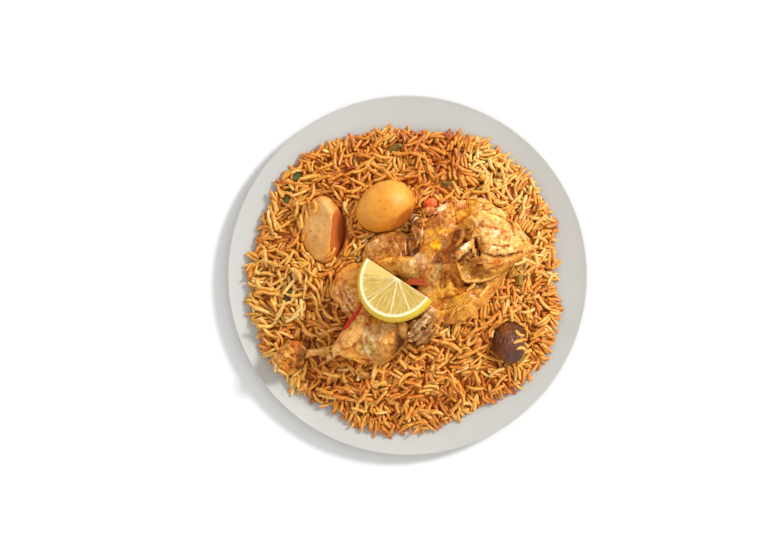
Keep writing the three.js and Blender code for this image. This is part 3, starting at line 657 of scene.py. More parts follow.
        ((468, 211), 15, "#D8962E", 0.95), ((461, 205), 4, "#F6BC90", 0.75), ((481, 208), 4, "#CC6C26", 0.6),
        ((440, 209), 6, "#F0B284", 0.8), ((430, 211), 5, "#E89A70", 0.6), ((462, 220), 6, "#D8862A", 0.8),
        ((495, 211), 13, "#E8B468", 0.85), ((503, 214), 5, "#F0C888", 0.6), ((510, 211), 6, "#E09034", 0.8),
        ((487, 222), 17, "#F0C280", 0.85), ((496, 236), 22, "#F2BE74", 0.85),
        ([(473, 216), (482, 213.5), (492, 217)], 3, "#F2AE50", 0.6),
        # darker orange in the wing's crease, as painted shade
        ([(478, 229), (486, 227.5), (493, 229.5), (499, 232.5)], 2.2, "#DA8026", 0.6),
        # (483, 230) here and (494, 234) on the next line are painted highlights on the wing
        ((477, 231), 4, "#E69A3A", 0.6), ((499, 234), 5, "#E8902C", 0.7), ((483, 230), 3.5, "#FBDCA0", 0.8),
        ((494, 234), 4, "#FCE0AC", 0.85), ((505, 226), 6, "#F0A84A", 0.5), ((508, 245), 12, "#F4C278", 0.7),
        # the darker orange line at (489, 245.5) is painted shade in its crease
        ((523, 247), 10, "#EEB05C", 0.7), ([(489, 245.5), (499, 247.2), (507, 246)], 1.6, "#C87828", 0.7),
        ((496, 250), 7, "#F8D090", 0.7), ((515, 258), 7, "#CC8C32", 0.75),
        # painted shade under the wing's fold, here and on the next line
        ([(482, 251), (492, 257)], 1.8, "#9C602A", 0.7),
        ([(487, 255), (493, 257), (504, 256), (516, 254)], 1.9, "#9E6226", 0.65),
        # the line down the wing's right edge is painted shade in its crease
        ([(505, 221), (510, 226), (512.5, 235)], 1.8, "#B46E2A", 0.6), ((494, 264), 5, "#DC7424", 0.75),
        # the dark slot, its branch and the pit at (477.5, 267) are painted shade
        ((484, 261), 5, "#F2B868", 0.6), ([(474.2, 239), (475.4, 246), (477.5, 255.5)], 2, "#5A2C10", 0.9),
        ((477.5, 254), 3, "#54280E", 0.85), ([(470, 250), (472, 256)], 1.6, "#5E2A10", 0.85),
        ((477.5, 267), 2.4, "#6E2C10", 0.9), ((482, 271), 3, "#8A6A48", 0.6),
        ([(468, 245), (462, 249.5), (455, 256.5)], 5.4, "#E0AC64", 0.95),
        # the pale streak on the bone's tip is its pale colour with a painted highlight; the dark line under the bone
        # is painted shade in the crevice
        ([(466, 245), (461.5, 248.5)], 2, "#F8E0B4", 0.95), ([(470, 251), (464, 256), (458, 262)], 2, "#5E3014", 0.9),
        # the dark line along the bone's upper edge is painted shade in its crease
        ([(466, 240.5), (459, 245.5), (451.5, 252.5)], 1.8, "#8A5226", 0.75), ((453, 258.5), 2.2, "#8E5A34", 0.8),
        # (449.5, 257) is painted shade in a small hole
        ((449.5, 257), 1.6, "#5E2E12", 0.7), ((462, 243.5), 3, "#C88A48", 0.6), ((466, 270), 9, "#BE8A40", 0.85),
        ([(457, 264), (459, 273), (464, 280)], 1.8, "#EAB05C", 0.8), ((480, 276), 9, "#C28E42", 0.8),
        ([(466, 282), (480, 282), (494, 277)], 1.8, "#E8B660", 0.7), ((497, 271), 7, "#CE9036", 0.7),
        # the dark band under the rim of skin is its painted shadow
        ([(456, 286), (470, 286.5), (484, 285)], 3.4, "#6A3812", 0.8), ((450, 298), 17, "#C89430", 0.9),
        ((443, 308), 10, "#CA9034", 0.85), ((462, 292), 10, "#D0842A", 0.7), ((446, 316), 8, "#CC8C2E", 0.8),
        # (423, 326) paints the ground under the torn strands dark, as painted shade in the gaps between them
        ((440, 318), 3, "#F2BC7C", 0.6), ((423, 326), 15, "#643C18", 0.92), ((416, 336), 8, "#C8945E", 0.7),
        ((430, 312), 8, "#B07C46", 0.7), ((342, 346), 13, "#ECA450", 0.9),
        ([(340, 345), (350, 338), (358, 328), (363, 316)], 7, "#EDB468", 0.85),
        # painted shadow along the fold of the overlapping skin
        ([(330, 350.5), (343, 349), (353, 345.5), (360, 338), (365, 328), (370, 317)], 1.6, "#B4702E", 0.7),
        ((370, 344), 11, "#AE9458", 0.9), ((372, 331), 6, "#BC9866", 0.8), ((362, 352), 5, "#C6A468", 0.7),
        ((369, 350), 2.5, "#D8C490", 0.7), ([(366, 326), (364, 336), (366, 347), (371, 357)], 1.6, "#DCCBA0", 0.6),
        ([(366, 347), (361, 353), (360, 359)], 1.3, "#D4BC8C", 0.6),
        ([(372, 340), (377, 348), (377, 356)], 1.4, "#D0B888", 0.5), ((373, 337), 2.2, "#D6BC94", 0.6),
        ((379, 335), 5, "#B09478", 0.8), ((385, 328), 8, "#B88E5C", 0.85), ((395, 325), 6, "#C08A50", 0.7),
        # (385, 343) is a painted highlight on the dome
        ((386, 344), 9, "#C28640", 0.9), ((385, 343), 4.6, "#D89E52", 0.8),
        ([(379, 331), (384, 334), (390, 335)], 2, "#B48A5C", 0.6), ((393, 351), 4, "#A8682C", 0.7),
        # the dark crescent here and on the next line is painted shade in the crease beside the dome
        ((400, 343), 7, "#7A481A", 0.6), ([(398, 332), (400.5, 342), (398, 352)], 8, "#8C5A22", 0.7),
        ([(400, 334), (401.5, 342), (399.5, 350)], 5, "#421E04", 0.92), ((404, 331), 6, "#A8763C", 0.8),
        ([(407.5, 343), (402, 351), (392, 359)], 3, "#B47434", 0.85), ((355, 357), 11, "#F0A43C", 0.9),
        # (338, 351) is a painted highlight on the drumstick's narrow end
        ((366, 362), 5, "#D48C3A", 0.7), ((349, 358), 4, "#F0B860", 0.7), ((338, 351), 4, "#F2BC70", 0.7),
        ((378, 356), 6, "#B48A44", 0.7), ((388, 359), 7, "#C07A36", 0.8), ((320, 352), 10, "#C4904C", 0.9),
        ((313, 350), 4, "#D69C60", 0.6), ([(337, 353), (328, 359), (318, 366)], 3, "#DCA066", 0.8),
        ((289, 354), 18, "#C08436", 0.9), ((297, 344), 8, "#B45E24", 0.9), ((280, 358), 6, "#E6B468", 0.75),
        # the dark line beside the ankle's bone end is painted shade in its crevice
        ([(302, 351), (300, 360), (296, 368)], 3.4, "#80582C", 0.8), ((283, 371), 5, "#C8782C", 0.7),
        # the dark line at (293, 345) is painted shade in its crease
        ((288, 363), 8, "#CE8430", 0.7), ([(293, 345), (296, 351), (296.5, 359)], 1.6, "#9A5A26", 0.5),
        # the dark line at x 331 is painted shade in the crease at the narrow end
        ((284, 353), 5, "#E0A458", 0.6), ([(331, 346.5), (330.6, 351), (332, 355.5)], 1.4, "#8A5020", 0.7),
        # (336, 350) is a painted highlight on the narrow end
        ((336, 350), 4, "#F4C078", 0.8), ((302, 352), 4, "#A2703E", 0.8),
        # painted shade in the crevice above the bone
        ([(304, 345), (306, 351), (304, 358)], 2, "#5E3414", 0.8), ((290, 370), 5, "#C4742A", 0.7),
    ],
    # where juices stand on it, from 0 to 1
    "wet": [
        ((484, 230), 4, 0.9, 1), ((495, 234), 6, 0.9, 1), ((463, 248), 6, 1.0, 1), ((383, 341), 7, 0.9, 1),
        ((400, 342), 9, 0.0, 1), ((368, 332), 8, 0.7, 1), ((354, 335), 9, 0.6, 1), ((352, 355), 9, 0.7, 1),
        ((347, 270), 10, 0.7, 1), ((420, 330), 15, 0.8, 1), ((435, 245), 9, 0.3, 1), ((441, 231), 7, 0.3, 1),
        ((445, 242), 6, 0.0, 1), ((405, 266), 10, 0.5, 1), ((381, 244), 9, 0.7, 1), ((407, 250), 5, 1.0, 1),
        ((447, 303), 10, 0.6, 1), ((462, 207), 8, 0.8, 1), ((494, 251), 7, 0.6, 1), ((437, 268), 6, 1.0, 1),
        ((475, 252), 5, 1.0, 1), ((290, 350), 9, 0.6, 1),
    ],
    # where the skin has its pimples
    "pimples": [
        ((490, 222), 16, 0.9, 1), ((492, 232), 9, 0.4, 1), ((510, 246), 20, 0.9, 1), ((492, 251), 10, 0.7, 1),
        ((452, 301), 22, 0.8, 1), ((350, 336), 16, 1.0, 1), ((352, 354), 12, 0.7, 1), ((340, 270), 16, 0.6, 1),
        ((440, 230), 14, 0.5, 1), ((460, 251), 9, 0.0, 1), ((387, 338), 14, 0.0, 1),
    ],
    # where bare meat shows its fibres
    "fibres": [
        ((423, 326), 17, 0.25, 1), ((344, 307), 14, 0.6, 1), ((290, 356), 16, 0.6, 1), ((402, 247), 12, 0.6, 1),
        ((380, 245), 12, 0.4, 1), ((387, 336), 12, 0.3, 1), ((474, 262), 9, 0.6, 1),
    ],
    # fine ribs of skin side by side along a line: places, how far they reach in pixels, and their pitch in mm
    "ribs": [
        ([(458, 262), (460, 270), (465, 276.5), (473, 277.5), (482, 277), (493, 273), (505, 266)], 7, 1.7),
        ([(452, 209), (464, 207.5), (476, 207.5), (487, 210)], 10, 1.8),
        ([(438, 318), (450, 306), (462, 295), (472, 288)], 12, 2.0),
    ],
    "shreds": {
        "baseColour": "#CC985C",
        "tornPlaces": [
            (432, 311), (424, 316), (415, 323), (429, 324), (420, 330), (412, 333), (426, 338), (417, 341),
            (410, 339), (431, 331),
        ],
        "tornStrands": 16,
        "tornSeed": 7,
        "tornSpread": 2.4,  # pixels round each place
        "tornHeading": (42, 24),  # degrees, and their spread
        "tornReach": (2.4, 6.2),
        "tornCurl": 0.4,
        "tornWidth": (1.2, 2.2),
        "tornLift": (0.8, 2.2),
        "patches": [
            ((423, 326), 20, "#BE8C54", 0.9), ((431, 312), 6, "#C8986C", 0.8), ((412, 331), 6, "#D8B280", 0.8),
            ((408, 337), 3, "#F4DCB4", 0.8), ((426, 331), 6, "#A06C3A", 0.8), ((423, 322), 4, "#DCB484", 0.8),
            ((428, 341), 6, "#7C4C22", 0.8), ([(408.6, 335.6), (414, 330.6), (420, 326.2)], 1.3, "#E0BE90", 0.7),
            ([(411, 340.4), (418, 334.4), (426, 328.4)], 1.2, "#D8B282", 0.6),
            ([(410.6, 329), (416, 323), (422, 317)], 1.2, "#DAB688", 0.6),
            ([(417, 327.4), (423, 321), (430, 314.4)], 1.3, "#DEBC90", 0.7),
            ([(421, 317.4), (427, 312), (433, 306)], 1.1, "#D2AC7C", 0.6),
            ([(415, 343.4), (423, 338), (431, 330.4)], 1.1, "#CCA26C", 0.5),
            ([(407.4, 332), (408.2, 337), (411.4, 341.4)], 1.4, "#F4DCB4", 0.85), ((416, 341), 4, "#C89460", 0.7),
            ((416, 219), 8, "#E6C8A0", 0.9), ((419, 238), 9, "#D8A870", 0.9), ((440, 210), 9, "#F6CC9C", 0.9),
            ((400, 248), 9, "#DCA870", 0.7), ((473, 256), 12, "#D89C54", 0.8), ((328, 358), 16, "#CE9046", 0.8),
            ((508, 222), 9, "#F4C27A", 0.8), ((528, 249), 8, "#EAB05A", 0.8),
        ],
        # the torn meat's larger strands, then tendons, tatters and the fibres at the knuckle
        "lines": [
            ([(407.6, 331, 46), (408.4, 336.6, 45), (411.6, 341.4, 44)], 3.6, 0),
            ([(408.6, 336), (414, 331), (420, 326.6)], 4.0, 1.2), ([(411, 341), (418, 335), (426, 329)], 3.8, 1.2),
            ([(415, 344), (423, 338.6), (431, 331)], 3.6, 1.0),
            ([(410.6, 329.6), (416, 323.6), (422, 317.6)], 3.6, 1.2),
            ([(417, 328), (423, 321.6), (430, 315)], 4.0, 1.6), ([(421, 318), (427, 312.6), (433, 306.6)], 3.4, 1.3),
            ([(424, 332), (430, 325), (434.6, 317)], 3.4, 1.0), ([(421, 343.6), (428, 339), (433.6, 333)], 3.0, 0.7),
            ([(414, 326), (419, 329.6), (421, 335)], 2.4, 1.9),
            ([(391.7, 238), (396, 245), (399.5, 251.5), (401, 258)], 1.7, 0.5),
            ([(404.5, 239), (405, 247), (405.5, 256)], 1.3, 0.4),
            ([(422, 227), (421, 234), (419, 240), (416, 248)], 3.4, 0.8),
            ([(412, 228), (415, 234), (416.5, 240)], 2.4, 0.5),
            ([(411, 223), (411, 218.5), (413.6, 215.4), (418, 214.8)], 1.7, 1.2),
            ([(413.6, 221.6), (415.8, 218.6), (418.6, 218.4)], 1.6, 0.8),
            ([(415.4, 223.4), (419.6, 221.6), (423, 217.6)], 1.5, 0.9),
            ([(407.6, 224), (411.6, 226.6), (416.6, 225.6)], 1.8, 0.9),
            ([(413, 212), (420, 209.6), (427, 211), (432, 214.5)], 2, 1.0),
            ([(433, 214), (439, 211.5), (446, 207)], 3.2, 0.8), ([(435, 210.5), (441, 208), (447, 204)], 1.8, 0.7),
            ([(470.5, 246), (471.5, 252), (469.5, 258)], 1.1, 0.5),
            ([(474.5, 249), (477, 254), (475.5, 260)], 1.1, 1.6),
            ([(477.5, 242), (479.5, 248), (484, 252.5)], 1.2, 0.2),
            ([(465, 257), (470, 259.5), (476, 258.6)], 1.2, 0.6), ([(463, 261), (468, 263), (474, 262.5)], 1.2, 0.5),
            ([(471, 263), (476, 260), (482, 260)], 1.2, 0.7), ([(477.5, 257.5), (482, 259), (487, 258.4)], 1.2, 0.7),
            ([(467, 266), (472, 262.5), (474, 258)], 1.1, 0.7),
            ([(504, 219.5), (508, 223), (511.5, 228.5)], 1.1, 0.4),
            ([(502.5, 221), (507, 225.5), (510, 230.5)], 1.0, 0.3),
            ([(526, 244.5), (530.5, 248.5), (533.5, 253)], 1.5, 0.3),
            ([(520, 251), (526, 253.5), (532, 254.5)], 1.5, 0.2), ([(336, 356), (328, 361.5), (322, 366)], 1.1, 0.5),
            ([(334, 350), (324, 350.5), (314, 351.5), (306, 350)], 1.5, 0.1),
            ([(300, 343), (304, 347), (306, 353)], 1.3, 0.3), ([(330, 347), (336, 343), (343, 336)], 1.2, 0.1),
        ],
    },
}


def tornStrands():
    shreds = chicken["shreds"]
    torn = np.random.default_rng(shreds["tornSeed"])
    strands = []
    for k in range(shreds["tornStrands"]):
        px, py = shreds["tornPlaces"][k % len(shreds["tornPlaces"])]
        middle = np.array([px + torn.normal(0, shreds["tornSpread"]), py + torn.normal(0, shreds["tornSpread"])])
        heading = math.radians(torn.normal(*shreds["tornHeading"]))
        step = np.array([math.cos(heading), -math.sin(heading)]) * torn.uniform(*shreds["tornReach"])
        curl = np.array([-step[1], step[0]]) * torn.normal(0, shreds["tornCurl"])
        line = [tuple(middle + offset) for offset in (-step, curl, step)]
        strands.append((line, torn.uniform(*shreds["tornWidth"]), torn.uniform(*shreds["tornLift"])))
    return strands


# Phase of fine ribs along lines, and how much they show
def markRibs(piece, lines):
    points = readVertices(piece, "co")
    waver = np.array([noise.noise(Vector(p) * 330) for p in points])
    phase = np.zeros(len(points))
    shown = np.zeros(len(points))
    for places, reach, pitch in lines:
        away, along, _ = toLine(points, places)
        length = sum(math.dist(onPlate(*a), onPlate(*b)) for a, b in zip(places, places[1:])) / mm
        inside = smoothStep(3 * (1 - away / (reach * picture["mmPerPixel"] * mm)))
        inside *= smoothStep(12 * np.minimum(along, 1 - along))
        phase[inside > shown] = (2 * math.pi * along * length / pitch + 1.4 * waver)[inside > shown]
        shown = np.maximum(shown, inside * np.clip(0.7 + 0.9 * waver, 0, 1))
    writeValues(piece.data, {"ribs": phase, "ribbed": shown})


# Stewed chicken skin and meat: thin, greasy and uneven, so a wet sheen in places over a warm scattering body
skinFinish = {"IOR": 1.42, "Specular IOR Level": 0.12, "Coat Weight": 0.17, "Coat Roughness": 0.1}
skinFinish |= {"Subsurface Weight": 0.2, "Subsurface Radius": (1.0, 0.42, 0.14), "Subsurface Scale": 0.0024}
skin, skinShader, skinPlace = newMaterial("StewedChickenSkin", skinFinish)
skinPimples, skinFibres, skinWet, skinHollow, skinRibs, skinRibbed = (
    addNode(skin, "Attribute", {"attribute_name": name}).outputs["Fac"]
    for name in ("pimples", "fibres", "wet", "hollow", "ribs", "ribbed")
)
skinPaint = addNode(skin, "Attribute", {"attribute_name": "meatColour"})
skinTone = addNode(skin, "HueSaturation", {"Hue": 0.507, "Saturation": 1.0, "Value": 1.27, "Color": skinPaint})

# Stains 6 mm across, a fine mottle, and painted shade that darkens the hollows
skinStain = addNode(skin, "TexNoise", {"Scale": 150, "Detail": 4, "Roughness": 0.55, "Vector": skinPlace})
skinMottle = addNode(skin, "TexNoise", {"Scale": 620, "Detail": 5, "Roughness": 0.7, "Vector": skinPlace})
skinTints = []
for pattern, stops in (
    (skinStain, [(0.34, "#BC8246"), (0.46, "#EBD4B4"), (0.56, "#FFFFFF")]),
    (skinMottle, [(0.38, "#C8833E"), (0.46, "#F2DDBC"), (0.53, "#FFFFFF")]),
    # painted shade: darker the more hollow a place is
    (skinHollow, [(0.0, "#FFFFFF"), (0.3, "#E8C49C"), (0.95, "#7C451C")]),
):
    skinTints.append(addNode(skin, "ValToRGB", {"stops": stops, "Fac": pattern}))

# Painted light, paler where it stands proud; set fat 8 mm across, then specks of fat and pepper
skinProudPaintedLight = addNode(
    skin, "MapRange", {"From Min": -0.2, "From Max": -0.9, "To Min": 0.0, "To Max": 0.3, "Value": skinHollow}
)
skinGrey = addNode(
    skin, "TexNoise", {"Scale": 120, "Detail": 3, "Roughness": 0.5, "Distortion": 0.6, "Vector": skinPlace}
)
skinGreyPart = addNode(skin, "MapRange", {"From Min": 0.5, "From Max": 0.66, "To Max": 0.55, "Value": skinGrey})
skinFat = addNode(skin, "TexNoise", {"Scale": 400, "Detail": 6, "Roughness": 0.75, "Vector": skinPlace})
skinFatPart = addNode(skin, "MapRange", {"From Min": 0.52, "From Max": 0.62, "To Max": 0.6, "Value": skinFat})

# Thin winding creases, as skin shrinks in the pot, their colour darkened as painted shade
winding = {"noise_type": "RIDGED_MULTIFRACTAL", "Detail": 3, "Roughness": 0.5, "Offset": 0.9, "Gain": 2.2}
skinCrease = addNode(skin, "TexNoise", winding | {"Scale": 210, "Vector": skinPlace})
skinCreasePart = addNode(skin, "MapRange", {"From Min": 0.75, "From Max": 1.7, "To Max": 0.36, "Value": skinCrease})

# Follicles 1.9 mm apart, fibres of bare meat, and fine ribs
skinDots = addNode(skin, "TexVoronoi", {"Scale": 520, "Randomness": 0.85, "Vector": skinPlace})
skinDotShape = addNode(
    skin, "MapRange", {"From Min": 0.0, "From Max": 0.5, "To Min": 0.5, "To Max": 0.0, "Value": skinDots}
)
skinDotHeight = addNode(skin, "Math", {"operation": "MULTIPLY", 0: skinDotShape, 1: skinPimples})
alongMeat = {"Rotation": (0, 0, math.radians(-42)), "Scale": (0.22, 1, 1)}
skinGrain = addNode(skin, "Mapping", alongMeat | {"Vector": skinPlace})
skinThreads = addNode(skin, "TexNoise", {"Scale": 900, "Detail": 3, "Vector": skinGrain})
skinThreadHeight = addNode(skin, "Math", {"operation": "MULTIPLY", 0: skinThreads, 1: skinFibres})
skinThreadPart = addNode(
    skin, "MapRange", {"From Min": 0.25, "From Max": 0.55, "To Max": 0.6, "Value": skinThreadHeight}
)
skinWave = addNode(skin, "Math", {"operation": "SINE", 0: skinRibs})
skinRibPart = addNode(skin, "Math", {"operation": "MULTIPLY", 1: 0.32, 0: skinRibbed})
skinRibHeight = addNode(skin, "Math", {"operation": "MULTIPLY", 0: skinWave, 1: skinRibPart})
skinFine = addNode(skin, "TexNoise", {"Scale": 700, "Detail": 5, "Roughness": 0.65, "Vector": skinPlace})

# Each layer of colour multiplies what is under it: how much of it shows, then its colour
for part, layer in (
    (0.85, skinTints[0]),
    (0.45, skinTints[1]),
    # painted shade in the hollows
    (0.85, skinTints[2]),
    # painted light on proud places
    (skinProudPaintedLight, (1.7, 1.8, 2.0, 1)),
    (skinGreyPart, (0.92, 1.0, 1.45, 1)),
    (skinFatPart, (1.5, 1.9, 2.7, 1)),
    # painted shade in the creases
    (skinCreasePart, linearColour("#CE8A50")),
    (skinThreadPart, linearColour("#BE8454")),
):
    multiply = {"data_type": "RGBA", "blend_type": "MULTIPLY", 0: part, 6: skinTone, 7: layer}
    skinTone = addNode(skin, "Mix", multiply)
skinHeight = skinDotHeight
for operation, part in (
    ("ADD", skinThreadHeight),
    ("ADD", skinRibHeight),
    ("ADD", skinFine),
    ("SUBTRACT", skinCreasePart),
):
    skinHeight = addNode(skin, "Math", {"operation": operation, 0: skinHeight, 1: part})
skinBump = addNode(skin, "Bump", {"Strength": 0.85, "Distance": 0.0012, "Height": skinHeight})
skinRough = addNode(skin, "MapRange", {"To Min": 0.46, "To Max": 0.22, "Value": skinWet})
skinGloss = addNode(skin, "MapRange", {"To Min": 0.05, "To Max": 0.36, "Value": skinWet})
setNode(
    skin,
    skinShader,
    {"Base Color": skinTone, "Roughness": skinRough, "Coat Weight": skinGloss, "Normal": skinBump},
)


def paintMeat(piece, base, patches):
    paint(piece, "meatColour", linearColour(base), patches)
    for name, elsewhere in {"pimples": 0.3, "fibres": 0.1, "wet": 0.25}.items():
        paint(piece, name, [elsewhere] * 4, chicken[name])
    markRibs(piece, chicken["ribs"])


rounds = chicken["rounds"]
chickenHalf = softCopy("half_chicken", "chickenHalf", chicken["firstVoxel"], rounds["start"])
closeGaps(chickenHalf, chicken["gap"], chicken["firstVoxel"])
smooth(chickenHalf, rounds["closed"])
soften(chickenHalf, chicken["taut"], rounds["taut"])
addStrands(chickenHalf, chicken["rolls"])
evenSkin(chickenHalf, chicken["voxel"])
smooth(chickenHalf, rounds["rolled"])
soften(chickenHalf, chicken["blended"], rounds["blended"])
carve(chickenHalf, chicken["strokes"], chicken["laps"])
roughen(chickenHalf, chicken["lumpy"])
for size, height in chicken["uneven"]:
    unevenBy(chickenHalf, size, height)
markHollows(chickenHalf, *chicken["hollow"])
paintMeat(chickenHalf, chicken["baseColour"], chicken["patches"])
finishPiece(chickenHalf, skin, "chicken", "half_chicken")
print("chicken is carved:", len(chickenHalf.data.polygons), "faces")

shredLines = chicken["shreds"]["lines"] + tornStrands()
chickenShreds = strandMesh("chickenShreds", treeOf([chickenHalf]), shredLines, flat=0.6, ragged=0.6)
paintMeat(chickenShreds, chicken["shreds"]["baseColour"], chicken["shreds"]["patches"])
finishPiece(chickenShreds, skin, "chicken")
print("meat is torn:", len(chickenShreds.data.polygons), "faces")


# ---- potatoes ----
potatoes = {
    "wholeCopy": (0.8, 20),  # voxel in millimetres, and rounds of smoothing
    "cutCopy": (0.7, 5),
    "afterCuts": {"whole": 8, "cut": 24},
    "wholeColour": "#DE942A",
    "cutColour": "#D98C34",
    # flat slices: place in the picture, heading and tilt of the cut, and how much of what is past it goes
    "wholeCuts": [(397.5, 220.5, -42, 66, 1)],
    "cutCuts": [(332, 224, -6, 60, 1), (309, 216, 168, 40, 0.6)],
    # painted shade on what faces one way: the whole potato's lower right facet, turned from the light, and the cut
    # potato's right side, in the whole one's painted shadow: heading, tilt, how close to it, colour and strength
    "wholeSideShade": [(-42, 66, 0.9, "#B8601E", 0.85)],
    "cutSideShadow": [(0, 75, 0.78, "#BC5E28", 0.9)],
    # specks and stains, with a painted highlight and painted shade on the whole potato: place and radius in the
    # picture, colour and strength
    "wholePatches": [
        # (398, 194) is a painted highlight, and (392, 226) on the next line painted shade
        ((398, 194), 13, "#EDA940", 0.9), ((370, 205), 14, "#EBA438", 0.7), ((380, 218), 16, "#DC8C24", 0.7),
        ((366, 224), 10, "#DB8E2C", 0.6), ((392, 226), 9, "#CF7C28", 0.5), ((379.6, 202.2), 0.8, "#8A4A18", 0.8),
        ((384.9, 210.2), 0.9, "#7A4216", 0.9), ((391, 207.2), 0.7, "#8E5520", 0.8),
        ((366.6, 206.8), 0.8, "#B06A24", 0.7), ((371.5, 229.4), 0.7, "#8A4A18", 0.7),
    ],
    "cutPatches": [
        ((316, 226), 22, "#EAB468", 0.85), ((318, 250), 14, "#E8AE5C", 0.7), ((313, 243), 7, "#DB963C", 0.6),
        ((326, 205), 8, "#E8B66E", 0.75), ((332, 240), 5, "#EDAA3A", 0.8), ((330, 252), 6, "#EBA63E", 0.7),
        ((311, 231), 1.0, "#7A5A2A", 0.8), ((318.7, 231), 0.8, "#B06A30", 0.7), ((324.5, 225), 0.8, "#B5702E", 0.7),
        ((314.5, 240.5), 0.9, "#B06A20", 0.7), ((317.4, 245.3), 0.7, "#8A5A28", 0.7),
        ((316, 237), 2.2, "#C98634", 0.8),
    ],
}

# Peeled boiled potato stained by saffron and tomato: waxy and moist, light sinks in a few millimetres
waxyFinish = {"Roughness": 0.48, "IOR": 1.38, "Coat Weight": 0.12, "Coat Roughness": 0.35}
waxyFinish |= {"Subsurface Weight": 0.25, "Subsurface Radius": (1.0, 0.55, 0.2), "Subsurface Scale": 0.004}
waxy, waxyShader, waxyPlace = newMaterial("BoiledPotato", waxyFinish)
waxyPaint = addNode(waxy, "Attribute", {"attribute_name": "meatColour"})
waxyCloud = addNode(waxy, "TexNoise", {"Scale": 230, "Detail": 5, "Vector": waxyPlace})
waxyTone = addNode(waxy, "ValToRGB", {"stops": [(0.3, "#EBD6BC"), (0.6, "#FFFFFF")], "Fac": waxyCloud})
waxyClouded = {"data_type": "RGBA", "blend_type": "MULTIPLY", 0: 0.5, 6: waxyPaint, 7: waxyTone}
waxyColour = addNode(waxy, "Mix", waxyClouded)
waxyFine = addNode(waxy, "TexNoise", {"Scale": 700, "Detail": 4, "Vector": waxyPlace})
waxyBump = addNode(waxy, "Bump", {"Strength": 0.25, "Distance": 0.0004, "Height": waxyFine})
setNode(waxy, waxyShader, {"Base Color": waxyColour, "Normal": waxyBump})

potatoWhole = softCopy("potato_whole", "potatoWhole", *potatoes["wholeCopy"])
unevenBy(potatoWhole, 11, 0.4)
for cut in potatoes["wholeCuts"]:
    trim(potatoWhole, *cut)
smooth(potatoWhole, potatoes["afterCuts"]["whole"])
paint(potatoWhole, "meatColour", linearColour(potatoes["wholeColour"]), potatoes["wholePatches"])
paintFacing(potatoWhole, "meatColour", potatoes["wholeSideShade"])
finishPiece(potatoWhole, waxy, "potato", "potato_whole")
potatoCut = softCopy("potato_cut", "potatoCut", *potatoes["cutCopy"])
unevenBy(potatoCut, 17, 4)
unevenBy(potatoCut, 6, 0.9)
for cut in potatoes["cutCuts"]:
    trim(potatoCut, *cut)
smooth(potatoCut, potatoes["afterCuts"]["cut"])
unevenBy(potatoCut, 3, 0.35)
paint(potatoCut, "meatColour", linearColour(potatoes["cutColour"]), potatoes["cutPatches"])
paintFacing(potatoCut, "meatColour", potatoes["cutSideShadow"])
finishPiece(potatoCut, waxy, "cut_potato", "potato_cut")
print("potatoes are peeled")

# ---- dried lime ----
limeColour = "#64351C"
limeUneven = [(6, 1.6), (2.5, 1.1)]  # size and height in millimetres
# red-brown and dark mottling; the grey-mauve patches at (497, 336) and (514, 340) are painted sheen
limePatches = [
    ((502, 329), 9, "#94501C", 0.85), ((497, 336), 7, "#6E4838", 0.6), ((512, 352), 9, "#5E3428", 0.8),
    ((514, 340), 7, "#7C4840", 0.7), ((506, 345), 8, "#6E3218", 0.75), ((498, 354), 7, "#7A3A1A", 0.7),
    ((518, 357), 6, "#4C2A20", 0.7), ((500, 358), 6, "#8C4E20", 0.7),
]
# Dried black lime swollen in stock: leathery, wrinkled and wet
leatheryFinish = {"Roughness": 0.3, "IOR": 1.4, "Coat Weight": 0.2, "Coat Roughness": 0.14}
leathery, leatheryShader, leatheryPlace = newMaterial("DriedBlackLime", leatheryFinish)
leatheryPaint = addNode(leathery, "Attribute", {"attribute_name": "meatColour"})
endToEnd = {"Rotation": (0, 0, math.radians(14)), "Scale": (1, 0.4, 1)}  # the way the wrinkles run
leatheryDrawn = addNode(leathery, "Mapping", endToEnd | {"Vector": leatheryPlace})
leatheryFolds = addNode(leathery, "TexNoise", winding | {"Scale": 420, "Vector": leatheryDrawn})
leatheryFine = addNode(
    leathery, "TexNoise", {"Scale": 900, "Detail": 5, "Roughness": 0.6, "Vector": leatheryPlace}
)
leatheryHeight = addNode(leathery, "Math", {"operation": "ADD", 0: leatheryFolds, 1: leatheryFine})
leatheryBump = addNode(leathery, "Bump", {"Strength": 0.8, "Distance": 0.0009, "Height": leatheryHeight})
setNode(leathery, leatheryShader, {"Base Color": leatheryPaint, "Normal": leatheryBump})
driedLime = softCopy("dried_lime", "driedLime", 0.7, 6)
for size, height in limeUneven:
    unevenBy(driedLime, size, height)
paint(driedLime, "meatColour", linearColour(limeColour), limePatches)
finishPiece(driedLime, leathery, "dried_lime", "dried_lime")
print("dried lime is wrinkled")

# ---- lemon ----
lemon = {
    "middle": (-7, -3, 64),
    "turns": (-5, -12, -34),  # about X, Y and Z, Y first
    "radius": 30,
    "stretch": 1.1,
    "pithInside": 0.875,
    "pithOutside": 0.95,
    # degrees from the cut's right end, and thickness
    "membranes": [(209, 0.9), (245, 0.6), (251, 1.0), (294, 1.5), (326, 1.4)],
    "firstSegment": 207,  # where the palest segment ends
}


def lemonPlace():
    aboutX, aboutY, aboutZ = (math.radians(a) for a in lemon["turns"])
    turn = Matrix.Rotation(aboutZ, 4, "Z") @ Matrix.Rotation(aboutX, 4, "X") @ Matrix.Rotation(aboutY, 4, "Y")
    return Matrix.Translation(Vector(lemon["middle"]) * mm) @ turn


